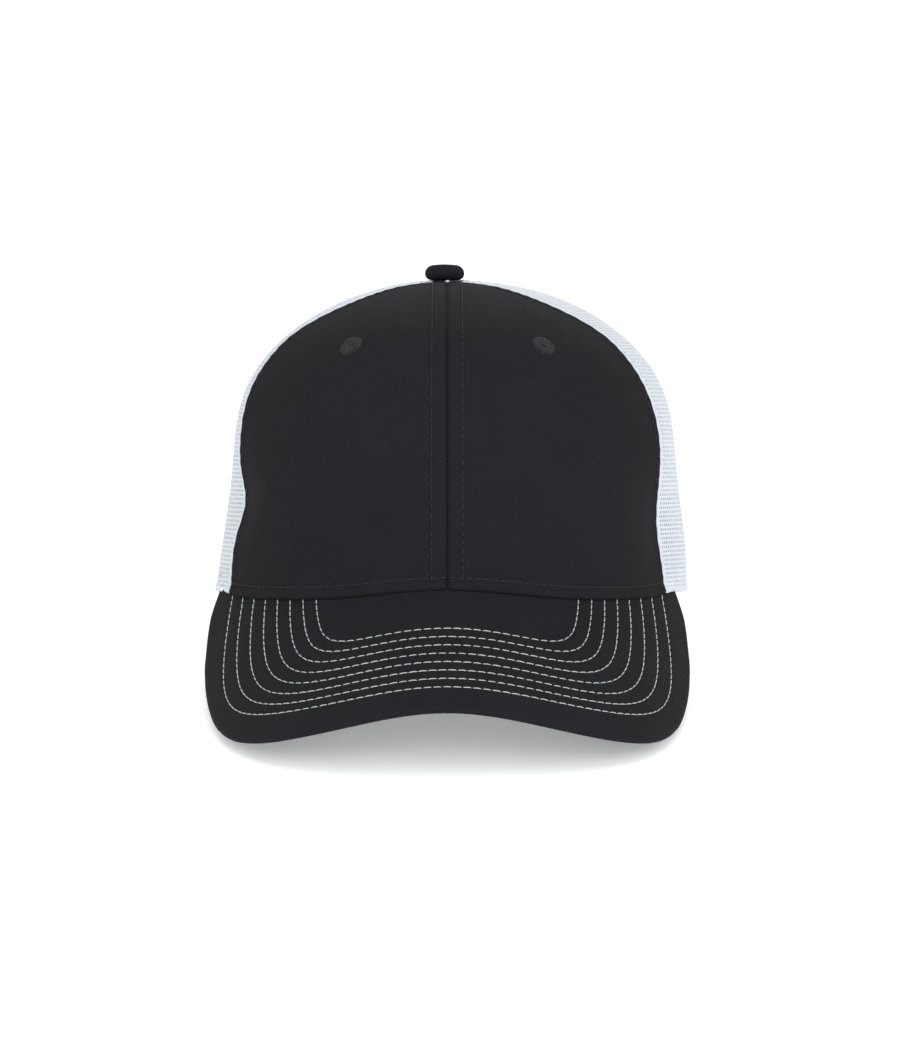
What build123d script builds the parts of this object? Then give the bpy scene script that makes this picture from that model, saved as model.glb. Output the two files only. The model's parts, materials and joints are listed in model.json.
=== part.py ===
"""Trucker mesh cap with a padded front, a mesh back, a curved visor and a snap closure.

Millimetres. While it is made, the cap stands on its rim: the rim plane is XY, the button
is on +Z, the visor points to -Y and the wearer's left is +X. At the end every piece is
tipped so that the cap rests on its visor corners and the back of its rim.
"""
from build123d import *
from functools import cache
import math
import os

os.makedirs("parts", exist_ok=True)

# Crown, outside of the cloth
RIM_HALF_WIDTH = 88.0
RIM_FRONT = 98.0
RIM_BACK = 100.0
CROWN_HEIGHT = 117.5
FRONT_SEAM = 63.0
BACK_SEAM = 122.0
SIDE_FULLNESS = 4.0
FRONT_FULLNESS = 4.6
BACK_FULLNESS = 3.0
SIDE_LEAN = 0.06
FRONT_LEAN = 0.10
STATIONS = (-0.14, 0.0, 0.15, 0.3, 0.45, 0.58, 0.69, 0.78, 0.85, 0.905, 0.945, 0.972, 0.989, 0.9982)
SEAT_STATION = STATIONS[-1]

# Cloth thicknesses, from the outside in
PANEL_THICKNESS = 0.8
BUCKRAM_THICKNESS = 1.0
TAPE_THICKNESS = 0.8
BACKING_THICKNESS = 0.6
SWEATBAND_THICKNESS = 0.8
LAYER_GAP = 0.2
THREAD_RISE = 0.25
THREAD_WIDTH = 0.5

# Tapes, sweatband and label
TAPE_WIDTH = 14.0
TAPE_START = 14.5
HEM_GAP = 2.0
SWEATBAND_WIDTH = 33.0
BACKING_WIDTH = 29.0
BACKING_BEARING = 60.0
LABEL_WIDTH = 30.0
LABEL_HEIGHT = 18.0
LABEL_BEARING = 100.0
LABEL_THICKNESS = 0.4

# Visor
VISOR_LENGTH = 66.5
VISOR_HALF_WIDTH = 86.0
VISOR_SLOPE = 35.5
VISOR_BEND = 108.5
VISOR_ROOT_HEIGHT = 3.8
VISOR_SQUARENESS = 3.4
VISOR_SIDE_START = -23.0
VISOR_SIDE_TAPER = 7.0
COVER_THICKNESS = 0.7
BOARD_THICKNESS = 1.8
EDGE_WRAP = 0.9

# Topstitching on the crown
CENTRE_STITCH = 5.5
SEAM_STITCH = 3.0
HEM_STITCH = 4.3
STITCH_FOOT = 13.0
STITCH_TOP = 110.0

# Eyelets
EYELET_RADIUS = 4.3
EYELET_BORE = 1.4
EYELET_CUT = 2.2
EYELET_FLANGE = 0.5
EYELET_BEARING = 29.9
EYELET_RISE = 36.6
EYELET_CENTRE = 40.0

# Covered button
BUTTON_RADIUS = 7.4
BUTTON_RISE = 5.9
BUTTON_WALL = 0.5
BUTTON_SHOULDER = 3.2
BUTTON_TUCK = 0.9
BUTTON_MOUTH = 5.2
PLATE_RADIUS = 5.0
PLATE_THICKNESS = 0.6
POST_RADIUS = 1.2
POST_HEAD = 2.2
POST_CLEARANCE = 0.4
WASHER_RADIUS = 6.0

# Rear opening and its binding
ARCH_RADIUS = 50.0
ARCH_SPRING = 8.0
BINDING_WIDTH = 6.0
BINDING_THICKNESS = 0.5

# Snap straps
HINGE_INSET = 5.8
ROOT_CLEARANCE = 0.8
STRAP_BOTTOM = 6.0
STRAP_WIDTH = 17.0
STRAP_THICKNESS = 1.3
STRAP_GAP = 0.3
SNAP_COUNT = 7
SNAPS_CLOSED = 4
SNAP_PITCH = 9.0
HOLE_RADIUS = 2.6
PEG_RADIUS = 2.0
PEG_PROUD = 0.3
PEG_TAPER = 13.0
TIP_MARGIN = 5.2
TIP_ROUND = 6.0
JOGGLE_LENGTH = 3.6
TAB_LENGTH = 14.0

# The straps are rooted just inside the feet of the arch
HINGE_OFFSET = ARCH_RADIUS - HINGE_INSET

# Depths below the outside of the crown at which each layer lies
BUCKRAM_DEPTH = PANEL_THICKNESS
TAPE_DEPTH = BUCKRAM_DEPTH + BUCKRAM_THICKNESS
TAB_DEPTH = PANEL_THICKNESS + BINDING_THICKNESS + LAYER_GAP
BACKING_DEPTH = max(TAPE_DEPTH + TAPE_THICKNESS, TAB_DEPTH + STRAP_THICKNESS) + LAYER_GAP
SWEATBAND_DEPTH = BACKING_DEPTH + BACKING_THICKNESS
LABEL_DEPTH = SWEATBAND_DEPTH + SWEATBAND_THICKNESS + LAYER_GAP
VISOR_THICKNESS = 2 * COVER_THICKNESS + BOARD_THICKNESS
REACH = 2 * max(RIM_HALF_WIDTH, RIM_FRONT, RIM_BACK)
SEAT_HEIGHT = CROWN_HEIGHT * SEAT_STATION

# The visor is a tilted cylinder. One plane looks along its slope, the other lies flat on it.
SLOPE = math.radians(VISOR_SLOPE)
VISOR_ROOT = (0, -RIM_FRONT, VISOR_ROOT_HEIGHT)
DOWN_SLOPE = Plane(VISOR_ROOT, x_dir=(1, 0, 0), z_dir=(0, -math.cos(SLOPE), -math.sin(SLOPE)))
ON_SLOPE = Plane(VISOR_ROOT, x_dir=(1, 0, 0), z_dir=(0, -math.sin(SLOPE), math.cos(SLOPE)))
REAR = Plane((0, 0, 0), x_dir=(-1, 0, 0), z_dir=(0, 1, 0))

pieces = {}


def keep(name, solid):
    """Store a finished piece under the name of its node."""
    pieces[name] = solid


def bearing(angle, radius):
    """Point at an angle from the visor, positive to the wearer's left."""
    turn = math.radians(angle)
    return (radius * math.sin(turn), -radius * math.cos(turn))


# Shapes of the crown ---------------------------------------------------------------------


def girth(height, fullness):
    """Share of the rim's radius that is left at a share of the crown's height."""
    return math.sqrt(1 - max(height, 0.0) ** fullness)


@cache
def dome(depth):
    """Solid crown whose skin lies this deep below the outside of the cloth."""
    height = CROWN_HEIGHT - depth
    with BuildPart() as solid:
        for h in STATIONS:
            side = (RIM_HALF_WIDTH - depth) * (1 - SIDE_LEAN * h) * girth(h, SIDE_FULLNESS)
            front = (RIM_FRONT - depth) * (1 - FRONT_LEAN * h) * girth(h, FRONT_FULLNESS)
            back = (RIM_BACK - depth) * girth(h, BACK_FULLNESS)
            with BuildSketch(Plane.XY.offset(height * h)):
                with BuildLine():
                    EllipticalCenterArc((0, 0), side, front, start_angle=180, arc_size=180)
                    EllipticalCenterArc((0, 0), side, back, start_angle=0, arc_size=180)
                make_face()
        loft()
    return solid.part


@cache
def layer(depth, thickness):
    """Skin of the crown between two depths."""
    with BuildPart() as skin:
        add(dome(depth))
        add(dome(depth + thickness), mode=Mode.SUBTRACT)
    return skin.part


@cache
def sector(start, end):
    """Upright wedge about the button between two bearings."""
    middle = (start + end) / 2
    with BuildPart() as wedge:
        with BuildSketch(Plane.XY.offset(-REACH)):
            with BuildLine():
                Polyline((0, 0), bearing(start, REACH), bearing(middle, 2 * REACH),
                         bearing(end, REACH), close=True)
            make_face()
        extrude(amount=2 * REACH)
    return wedge.part


def slab(angle, offset, width, start=0.0):
    """Upright slab along a bearing, set off to its left side, from a start radius outwards."""
    along = Plane((0, 0, 0), x_dir=(*bearing(angle, 1), 0), z_dir=(0, 0, 1))
    with BuildPart() as board:
        with BuildSketch(along.offset(-REACH)):
            with Locations((start, offset)):
                Rectangle(REACH, width, align=(Align.MIN, Align.CENTER))
        extrude(amount=2 * REACH)
    return board.part


def belt(bottom, top):
    """Level band of space between two heights above the rim plane."""
    with BuildPart() as band:
        with BuildSketch(Plane.XY.offset(bottom)):
            Rectangle(2 * REACH, 2 * REACH)
        extrude(amount=top - bottom)
    return band.part


# Shapes of the visor ---------------------------------------------------------------------


def visor_skin(depth, thickness):
    """Bent sheet that lies this deep below the top of the visor."""
    with BuildPart() as skin:
        with BuildSketch(DOWN_SLOPE):
            with Locations((0, -VISOR_BEND)):
                Circle(VISOR_BEND - depth)
                Circle(VISOR_BEND - depth - thickness, mode=Mode.SUBTRACT)
        extrude(amount=REACH, both=True)
    return skin.part


def visor_outline(inset):
    """Column of space inside the visor's edge, set in from it all round."""
    half_width = VISOR_HALF_WIDTH - inset
    depth = VISOR_LENGTH - inset - VISOR_SIDE_START
    points = []
    for angle in (90, 68, 50, 33, 18, 7, 0):
        turn = math.radians(angle)
        across = half_width * math.cos(turn) ** (2 / VISOR_SQUARENESS)
        forward = VISOR_SIDE_START + depth * math.sin(turn) ** (2 / VISOR_SQUARENESS)
        points.append((across, -forward))
    taper = math.radians(VISOR_SIDE_TAPER)
    end_width = half_width - (RIM_FRONT + VISOR_SIDE_START) * math.tan(taper)
    with BuildPart() as column:
        with BuildSketch(ON_SLOPE.offset(-0.9 * VISOR_BEND)):
            with BuildLine():
                edge = Spline(*points, tangents=[(1, 0), (-math.sin(taper), math.cos(taper))])
                mirror(edge, about=Plane.YZ)
                Polyline((half_width, -VISOR_SIDE_START), (end_width, RIM_FRONT),
                         (-end_width, RIM_FRONT), (-half_width, -VISOR_SIDE_START))
            make_face()
        extrude(amount=VISOR_BEND)
    return column.part


# Space above the lower edge of the crown: the rim plane, and under it the visor's root
with BuildPart() as crown_room:
    with BuildSketch(Plane.XY.offset(-REACH)):
        with Locations((0, -0.2 * RIM_FRONT)):
            Rectangle(2 * REACH, REACH, align=(Align.CENTER, Align.MAX))
    extrude(amount=REACH + 1)
    with BuildSketch(DOWN_SLOPE):
        with Locations((0, -VISOR_BEND)):
            Circle(VISOR_BEND - VISOR_THICKNESS)
    extrude(amount=2 * REACH, both=True, mode=Mode.SUBTRACT)
    add(belt(0, REACH))


# Crown panels ----------------------------------------------------------------------------

# Rear opening: an arch with straight sides down to the rim
def arch(grow):
    """Column of space through the back of the crown, larger all round by a margin."""
    radius = ARCH_RADIUS + grow
    with BuildPart() as gate:
        with BuildSketch(REAR):
            with Locations((0, ARCH_SPRING)):
                Circle(radius)
                Rectangle(2 * radius, REACH, align=(Align.CENTER, Align.MAX))
        extrude(amount=REACH)
    return gate.part


# Hole at the top of the crown for the button's post
with BuildPart() as post_hole:
    with BuildSketch(Plane.XY.offset(SEAT_HEIGHT / 2)):
        Circle(POST_RADIUS + POST_CLEARANCE)
    extrude(amount=REACH)


def eyelet_plane(side):
    """Plane through an eyelet's axis, facing out of the crown, on one side."""
    level = math.cos(math.radians(EYELET_RISE))
    across, forward = bearing(side * EYELET_BEARING, level)
    return Plane((0, 0, EYELET_CENTRE), x_dir=(-forward, across, 0),
                 z_dir=(across, forward, math.sin(math.radians(EYELET_RISE))))


def eyelet_column(side, radius):
    """Round column of space along an eyelet's axis."""
    with BuildPart() as column:
        with BuildSketch(eyelet_plane(side)):
            Circle(radius)
        extrude(amount=REACH)
    return column.part


SIDES = {"left": 1, "right": -1}

for hand, side in SIDES.items():
    # Front panel: polyester twill, cut through for the eyelet
    with BuildPart() as front_panel:
        add(layer(0, PANEL_THICKNESS))
        add(sector(0, side * FRONT_SEAM), mode=Mode.INTERSECT)
        add(crown_room, mode=Mode.INTERSECT)
        add(post_hole, mode=Mode.SUBTRACT)
        add(eyelet_column(side, EYELET_CUT), mode=Mode.SUBTRACT)
    keep(f"front_panel_{hand}", front_panel.part)

    # Buckram: stiff open-weave backing glued behind the front panel
    with BuildPart() as front_buckram:
        add(layer(BUCKRAM_DEPTH, BUCKRAM_THICKNESS))
        add(sector(0, side * FRONT_SEAM), mode=Mode.INTERSECT)
        add(crown_room, mode=Mode.INTERSECT)
        add(post_hole, mode=Mode.SUBTRACT)
        add(eyelet_column(side, EYELET_CUT), mode=Mode.SUBTRACT)
    keep(f"front_buckram_{hand}", front_buckram.part)

    # Side panel of mesh
    with BuildPart() as side_mesh:
        add(layer(0, PANEL_THICKNESS))
        add(sector(side * FRONT_SEAM, side * BACK_SEAM), mode=Mode.INTERSECT)
        add(crown_room, mode=Mode.INTERSECT)
        add(post_hole, mode=Mode.SUBTRACT)
    keep(f"side_mesh_{hand}", side_mesh.part)

    # Back panel of mesh, cut away by the rear opening
    with BuildPart() as back_mesh:
        add(layer(0, PANEL_THICKNESS))
        add(sector(side * BACK_SEAM, side * 180), mode=Mode.INTERSECT)
        add(belt(0, REACH), mode=Mode.INTERSECT)
        add(post_hole, mode=Mode.SUBTRACT)
        add(arch(0), mode=Mode.SUBTRACT)
    keep(f"back_mesh_{hand}", back_mesh.part)

    # Eyelet: a bush of thread through the panel and buckram, with a flange on each face
    with BuildPart() as eyelet:
        add(layer(-EYELET_FLANGE, TAPE_DEPTH + 2 * EYELET_FLANGE))
        add(eyelet_column(side, EYELET_RADIUS), mode=Mode.INTERSECT)
        add(eyelet_column(side, EYELET_BORE), mode=Mode.SUBTRACT)
        add(front_panel, mode=Mode.SUBTRACT)
        add(front_buckram, mode=Mode.SUBTRACT)
    keep(f"eyelet_{hand}", eyelet.part)

    # Tapes over the front-to-side seam and the side-to-back seam
    for name, angle in (("front_side_tape", FRONT_SEAM), ("side_back_tape", BACK_SEAM)):
        with BuildPart() as seam_tape:
            add(layer(TAPE_DEPTH, TAPE_THICKNESS))
            add(slab(side * angle, 0, TAPE_WIDTH, TAPE_START), mode=Mode.INTERSECT)
            add(belt(HEM_GAP, REACH), mode=Mode.INTERSECT)
        keep(f"{name}_{hand}", seam_tape.part)

# Tape over the centre seam, in one length from the front hem over the top to the arch
with BuildPart() as centre_tape:
    add(layer(TAPE_DEPTH, TAPE_THICKNESS))
    with BuildSketch(Plane.XY.offset(HEM_GAP)):
        Rectangle(TAPE_WIDTH, 2 * REACH)
    extrude(amount=REACH, mode=Mode.INTERSECT)
    add(post_hole, mode=Mode.SUBTRACT)
    add(arch(BINDING_WIDTH), mode=Mode.SUBTRACT)
keep("centre_tape", centre_tape.part)


# Sweatband -------------------------------------------------------------------------------

# Cotton face, all round the inside of the rim to the edges of the rear opening
with BuildPart() as sweatband:
    add(layer(SWEATBAND_DEPTH, SWEATBAND_THICKNESS))
    add(crown_room, mode=Mode.INTERSECT)
    add(belt(-REACH, SWEATBAND_WIDTH), mode=Mode.INTERSECT)
    add(arch(0), mode=Mode.SUBTRACT)
keep("sweatband", sweatband.part)

# Soft non-woven backing behind the part that lies on the forehead
with BuildPart() as sweatband_backing:
    add(layer(BACKING_DEPTH, BACKING_THICKNESS))
    add(sector(-BACKING_BEARING, BACKING_BEARING), mode=Mode.INTERSECT)
    add(belt(HEM_GAP, BACKING_WIDTH), mode=Mode.INTERSECT)
keep("sweatband_backing", sweatband_backing.part)

# Blank care label on the inside of the sweatband
with BuildPart() as care_label:
    add(layer(LABEL_DEPTH, LABEL_THICKNESS))
    add(slab(LABEL_BEARING, 0, LABEL_WIDTH), mode=Mode.INTERSECT)
    add(belt(HEM_GAP, HEM_GAP + LABEL_HEIGHT), mode=Mode.INTERSECT)
keep("care_label", care_label.part)


# Visor -----------------------------------------------------------------------------------

MIDDLE_DEPTH = VISOR_THICKNESS / 2

# Polyethylene board
with BuildPart() as visor_board:
    add(visor_skin(COVER_THICKNESS, BOARD_THICKNESS))
    add(visor_outline(EDGE_WRAP), mode=Mode.INTERSECT)
    add(dome(0), mode=Mode.SUBTRACT)
keep("visor_board", visor_board.part)

# Twill covers above and below, turned round the edge of the board to meet halfway
for name, face_depth, turn_depth in (
    ("visor_top_cover", 0, 0),
    ("visor_under_cover", VISOR_THICKNESS - COVER_THICKNESS, MIDDLE_DEPTH),
):
    with BuildPart() as turned_edge:
        add(visor_skin(turn_depth, MIDDLE_DEPTH))
        add(visor_outline(0), mode=Mode.INTERSECT)
        add(visor_outline(EDGE_WRAP), mode=Mode.SUBTRACT)
    with BuildPart() as cover:
        add(visor_skin(face_depth, COVER_THICKNESS))
        add(visor_outline(0), mode=Mode.INTERSECT)
        add(turned_edge)
        add(dome(0), mode=Mode.SUBTRACT)
    keep(name, cover.part)


# Topstitching on the crown ---------------------------------------------------------------

# Twin rows beside the centre seam and one row inside each front seam
with BuildPart() as crown_topstitching:
    for side in SIDES.values():
        add(slab(0, side * CENTRE_STITCH, THREAD_WIDTH, 2 * BUTTON_RADIUS))
        add(slab(side * FRONT_SEAM, -side * SEAM_STITCH, THREAD_WIDTH, 2 * BUTTON_RADIUS))
    add(layer(-THREAD_RISE, THREAD_RISE), mode=Mode.INTERSECT)
    add(belt(STITCH_FOOT, STITCH_TOP), mode=Mode.INTERSECT)
keep("crown_topstitching", crown_topstitching.part)

# Row along the foot of the front, a little above the visor, and on round the mesh
with BuildPart() as hem_stitching:
    add(visor_skin(-HEM_STITCH - THREAD_WIDTH, THREAD_WIDTH))
    add(layer(-THREAD_RISE, THREAD_RISE), mode=Mode.INTERSECT)
    add(sector(-FRONT_SEAM, FRONT_SEAM), mode=Mode.INTERSECT)
keep("hem_stitching", hem_stitching.part)


# Rear opening and snap straps ------------------------------------------------------------

# Binding: a folded tape over the raw edge of the mesh round the arch
with BuildPart() as arch_binding:
    add(layer(-BINDING_THICKNESS, PANEL_THICKNESS + 2 * BINDING_THICKNESS))
    add(arch(BINDING_WIDTH), mode=Mode.INTERSECT)
    add(arch(-BINDING_THICKNESS), mode=Mode.SUBTRACT)
    add(belt(0, REACH), mode=Mode.INTERSECT)
    for hand in SIDES:
        add(pieces[f"back_mesh_{hand}"], mode=Mode.SUBTRACT)
keep("arch_binding", arch_binding.part)

# The straps follow the circle through the back of the rim and both strap roots.
root_sag = RIM_BACK * (1 - math.sqrt(1 - (HINGE_OFFSET / RIM_HALF_WIDTH) ** 2))
STRAP_ARC = (HINGE_OFFSET ** 2 + root_sag ** 2) / (2 * root_sag)
STRAP_CENTRE = RIM_BACK - STRAP_ARC
INNER_STRAP = STRAP_ARC - TAB_DEPTH - STRAP_THICKNESS
OUTER_STRAP = INNER_STRAP + STRAP_THICKNESS + STRAP_GAP
HINGE_RADIUS = INNER_STRAP + STRAP_THICKNESS / 2
HINGE_ANGLE = math.degrees(math.asin(HINGE_OFFSET / HINGE_RADIUS))
PITCH_ANGLE = math.degrees(SNAP_PITCH / OUTER_STRAP)
LAST_SNAP_ANGLE = (SNAPS_CLOSED - 1) * PITCH_ANGLE / 2
TIP_ANGLE = LAST_SNAP_ANGLE + math.degrees(TIP_MARGIN / OUTER_STRAP)
JOGGLE_ANGLE = math.degrees(JOGGLE_LENGTH / OUTER_STRAP)
ROOT_GAP = STRAP_THICKNESS / 2 + ROOT_CLEARANCE


def on_strap(angle, radius):
    """Point on the strap circle, with the angle from the back towards the wearer's left."""
    turn = math.radians(angle)
    return (radius * math.sin(turn), STRAP_CENTRE + radius * math.cos(turn))


def strap_arc(start, end, radius):
    """Arc about the centre of the strap circle, drawn in the current line."""
    middle = (start + end) / 2
    ThreePointArc(on_strap(start, radius), on_strap(middle, radius), on_strap(end, radius))


def snap_plane(angle, radius):
    """Plane at mid-height of a strap, facing outwards."""
    turn = math.radians(angle)
    place = on_strap(angle, radius)
    return Plane((*place, STRAP_BOTTOM + STRAP_WIDTH / 2), x_dir=(0, 0, 1),
                 z_dir=(math.sin(turn), math.cos(turn), 0))


def round_tip(strap, side):
    """Round the free end of a strap by its two short corner edges."""
    corners = strap.edges().filter_by(lambda edge: abs(edge.length - STRAP_THICKNESS) < 0.05)
    fillet(corners.sort_by(Axis.X)[-2:] if side > 0 else corners.sort_by(Axis.X)[:2], TIP_ROUND)


# Hole strap: rooted on the wearer's right, it steps out over the peg strap
with BuildPart() as hole_strap:
    with BuildSketch(Plane.XY.offset(STRAP_BOTTOM)):
        with BuildLine():
            for face in (0, STRAP_THICKNESS):
                Line(on_strap(-HINGE_ANGLE, INNER_STRAP + face),
                     on_strap(JOGGLE_ANGLE - HINGE_ANGLE, OUTER_STRAP + face))
                strap_arc(JOGGLE_ANGLE - HINGE_ANGLE, TIP_ANGLE, OUTER_STRAP + face)
            Line(on_strap(-HINGE_ANGLE, INNER_STRAP), on_strap(-HINGE_ANGLE, INNER_STRAP + STRAP_THICKNESS))
            Line(on_strap(TIP_ANGLE, OUTER_STRAP), on_strap(TIP_ANGLE, OUTER_STRAP + STRAP_THICKNESS))
        make_face()
        with Locations(on_strap(-HINGE_ANGLE, HINGE_RADIUS)):
            Circle(STRAP_THICKNESS / 2)
    extrude(amount=STRAP_WIDTH)
    round_tip(hole_strap, 1)
    for snap in range(SNAP_COUNT):
        angle = LAST_SNAP_ANGLE - snap * PITCH_ANGLE
        with BuildSketch(snap_plane(angle, OUTER_STRAP - STRAP_THICKNESS)):
            Circle(HOLE_RADIUS)
        extrude(amount=3 * STRAP_THICKNESS, mode=Mode.SUBTRACT)
keep("hole_strap", hole_strap.part)

# Peg strap: rooted on the wearer's left, with tapered pegs that face outwards
with BuildPart() as peg_strap:
    with BuildSketch(Plane.XY.offset(STRAP_BOTTOM)):
        with BuildLine():
            for face in (0, STRAP_THICKNESS):
                strap_arc(-TIP_ANGLE, HINGE_ANGLE, INNER_STRAP + face)
            for end in (-TIP_ANGLE, HINGE_ANGLE):
                Line(on_strap(end, INNER_STRAP), on_strap(end, INNER_STRAP + STRAP_THICKNESS))
        make_face()
        with Locations(on_strap(HINGE_ANGLE, HINGE_RADIUS)):
            Circle(STRAP_THICKNESS / 2)
    extrude(amount=STRAP_WIDTH)
    round_tip(peg_strap, -1)
    for snap in range(SNAP_COUNT):
        angle = snap * PITCH_ANGLE - LAST_SNAP_ANGLE
        with BuildSketch(snap_plane(angle, HINGE_RADIUS)):
            Circle(PEG_RADIUS)
        extrude(amount=1.5 * STRAP_THICKNESS + STRAP_GAP + PEG_PROUD, taper=PEG_TAPER)
keep("peg_strap", peg_strap.part)

# Sewn tabs of the straps, between the mesh and the sweatband, and the thread through them
for name, side in (("peg_strap_tab", 1), ("hole_strap_tab", -1)):
    with BuildPart() as strap_tab:
        add(layer(TAB_DEPTH, STRAP_THICKNESS))
        with BuildSketch(REAR):
            with Locations((-side * (HINGE_OFFSET + ROOT_GAP + TAB_LENGTH / 2), STRAP_BOTTOM)):
                Rectangle(TAB_LENGTH, STRAP_WIDTH, align=(Align.CENTER, Align.MIN))
        extrude(amount=REACH, mode=Mode.INTERSECT)
    keep(name, strap_tab.part)


# Covered button --------------------------------------------------------------------------


@cache
def button_form(inset):
    """Rounded disc of the button, smaller all round by an inset."""
    with BuildPart() as form:
        with BuildSketch(Plane.XY.offset(SEAT_HEIGHT + inset)):
            Circle(BUTTON_RADIUS - inset)
        extrude(amount=BUTTON_RISE - 2 * inset)
        fillet(form.edges().filter_by(GeomType.CIRCLE).sort_by(Axis.Z)[-1], BUTTON_SHOULDER - inset)
        fillet(form.edges().filter_by(GeomType.CIRCLE).sort_by(Axis.Z)[0], max(BUTTON_TUCK - inset, 0.2))
    return form.part


def disc(bottom, thickness, radius):
    """Flat round disc on the button's axis."""
    with BuildPart() as plate:
        with BuildSketch(Plane.XY.offset(bottom)):
            Circle(radius)
        extrude(amount=thickness)
    return plate.part


# Cloth cover gathered under the metal shell, and the shell itself
for name, inset, mouth in (
    ("button_cover", 0, BUTTON_MOUTH),
    ("button_shell", BUTTON_WALL, BUTTON_MOUTH - BUTTON_WALL),
):
    with BuildPart() as shell:
        add(button_form(inset))
        add(button_form(inset + BUTTON_WALL), mode=Mode.SUBTRACT)
        add(disc(SEAT_HEIGHT, inset + 2 * BUTTON_WALL, mouth), mode=Mode.SUBTRACT)
    keep(name, shell.part)

PLATE_BOTTOM = SEAT_HEIGHT + 2 * BUTTON_WALL
WASHER_TOP = SEAT_HEIGHT - SEAT_STATION * (TAPE_DEPTH + TAPE_THICKNESS) - LAYER_GAP

# Back plate that closes the shell
with BuildPart() as button_plate:
    add(disc(PLATE_BOTTOM, PLATE_THICKNESS, PLATE_RADIUS))
    add(disc(PLATE_BOTTOM, PLATE_THICKNESS, POST_RADIUS), mode=Mode.SUBTRACT)
keep("button_plate", button_plate.part)

# Washer that clamps the crown from inside
with BuildPart() as button_washer:
    add(disc(WASHER_TOP - PLATE_THICKNESS, PLATE_THICKNESS, WASHER_RADIUS))
    add(disc(WASHER_TOP - PLATE_THICKNESS, PLATE_THICKNESS, POST_RADIUS), mode=Mode.SUBTRACT)
keep("button_washer", button_washer.part)

# Post through the crown, headed over on the plate and under the washer
with BuildPart() as button_post:
    add(disc(WASHER_TOP - 2 * PLATE_THICKNESS, PLATE_THICKNESS, POST_HEAD))
    add(disc(WASHER_TOP - PLATE_THICKNESS, PLATE_BOTTOM + 2 * PLATE_THICKNESS - WASHER_TOP, POST_RADIUS))
    add(disc(PLATE_BOTTOM + PLATE_THICKNESS, PLATE_THICKNESS, POST_HEAD))
keep("button_post", button_post.part)


# Resting place ---------------------------------------------------------------------------

# The cap tips back until the lowest point of the visor is level with the foot of the back.
def visor_corner_tip():
    """Angle at which the underside of the visor's edge is level with the back of the rim."""
    foot_across = (ARCH_RADIUS - BINDING_THICKNESS) / (RIM_HALF_WIDTH + BINDING_THICKNESS)
    foot = (RIM_BACK + BINDING_THICKNESS) * math.sqrt(1 - foot_across ** 2)
    steepest = 0.0
    for step in range(91):
        turn = math.radians(step)
        across = VISOR_HALF_WIDTH * math.cos(turn) ** (2 / VISOR_SQUARENESS)
        reach = VISOR_LENGTH - VISOR_SIDE_START
        forward = VISOR_SIDE_START + reach * math.sin(turn) ** (2 / VISOR_SQUARENESS)
        bend = VISOR_BEND - VISOR_THICKNESS
        drop = VISOR_BEND - math.sqrt(bend ** 2 - across ** 2)
        y = -RIM_FRONT - forward * math.cos(SLOPE) + drop * math.sin(SLOPE)
        z = VISOR_ROOT_HEIGHT - forward * math.sin(SLOPE) - drop * math.cos(SLOPE)
        steepest = max(steepest, math.atan2(-z, foot - y))
    return math.degrees(steepest)


TIP_BACK = visor_corner_tip()
tipped = {name: solid.rotate(Axis.X, -TIP_BACK) for name, solid in pieces.items()}
whole = Compound(children=[Compound(obj=solid.wrapped) for solid in tipped.values()]).bounding_box()
to_origin = Location((0, -whole.center().Y, -whole.min.Z))

for name, solid in tipped.items():
    placed = solid.moved(to_origin)
    placed.label = name
    export_step(placed, f"parts/{name}.step")

print(f"tip {TIP_BACK:.6f} move_y {-whole.center().Y:.6f} move_z {-whole.min.Z:.6f}")
print(f"strap_centre {STRAP_CENTRE:.6f} hinge_radius {HINGE_RADIUS:.6f} hinge_angle {HINGE_ANGLE:.6f}")
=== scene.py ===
import json
import math

import bmesh
import bpy
import numpy as np
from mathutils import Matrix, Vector


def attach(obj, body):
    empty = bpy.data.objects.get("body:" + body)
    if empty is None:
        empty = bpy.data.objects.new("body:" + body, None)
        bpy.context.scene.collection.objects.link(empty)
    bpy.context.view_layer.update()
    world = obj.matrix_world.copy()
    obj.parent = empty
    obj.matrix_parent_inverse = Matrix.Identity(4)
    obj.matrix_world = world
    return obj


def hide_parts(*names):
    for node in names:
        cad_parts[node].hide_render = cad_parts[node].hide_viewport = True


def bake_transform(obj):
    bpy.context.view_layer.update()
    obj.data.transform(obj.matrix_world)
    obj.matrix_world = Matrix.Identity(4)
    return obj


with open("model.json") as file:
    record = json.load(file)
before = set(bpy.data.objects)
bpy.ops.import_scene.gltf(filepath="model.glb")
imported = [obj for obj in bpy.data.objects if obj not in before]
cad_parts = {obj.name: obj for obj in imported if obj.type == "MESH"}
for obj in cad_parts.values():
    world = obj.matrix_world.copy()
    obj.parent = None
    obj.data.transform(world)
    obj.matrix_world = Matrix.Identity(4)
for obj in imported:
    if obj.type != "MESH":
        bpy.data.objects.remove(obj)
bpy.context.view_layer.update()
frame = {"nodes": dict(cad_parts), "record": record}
scene = bpy.context.scene


# ---- Where the cap rests -----------------------------------------------------------------
# The cap sits on its visor corners and the foot of its back, so the crown leans back. All its
# pieces are laid out in millimetres from the middle of the rim, with z towards the button.

MM = 0.001
STRAP_ROOT_BACK = 83.86
STRAP_ROOT_RISE = 14.5
strap_joint = next(j for j in frame["record"]["behaviour"]["joints"] if j["name"] == "peg_strap_swing")
UP = Vector(strap_joint["axis"])
BACK = Vector((0, UP.z, -UP.y))
RIM_MIDDLE = Vector(strap_joint["pos_m"]) - (UP * STRAP_ROOT_RISE + BACK * STRAP_ROOT_BACK) * MM
RIM_MIDDLE.x = 0
LEAN_BACK = math.atan2(UP.y, UP.z)


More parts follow.
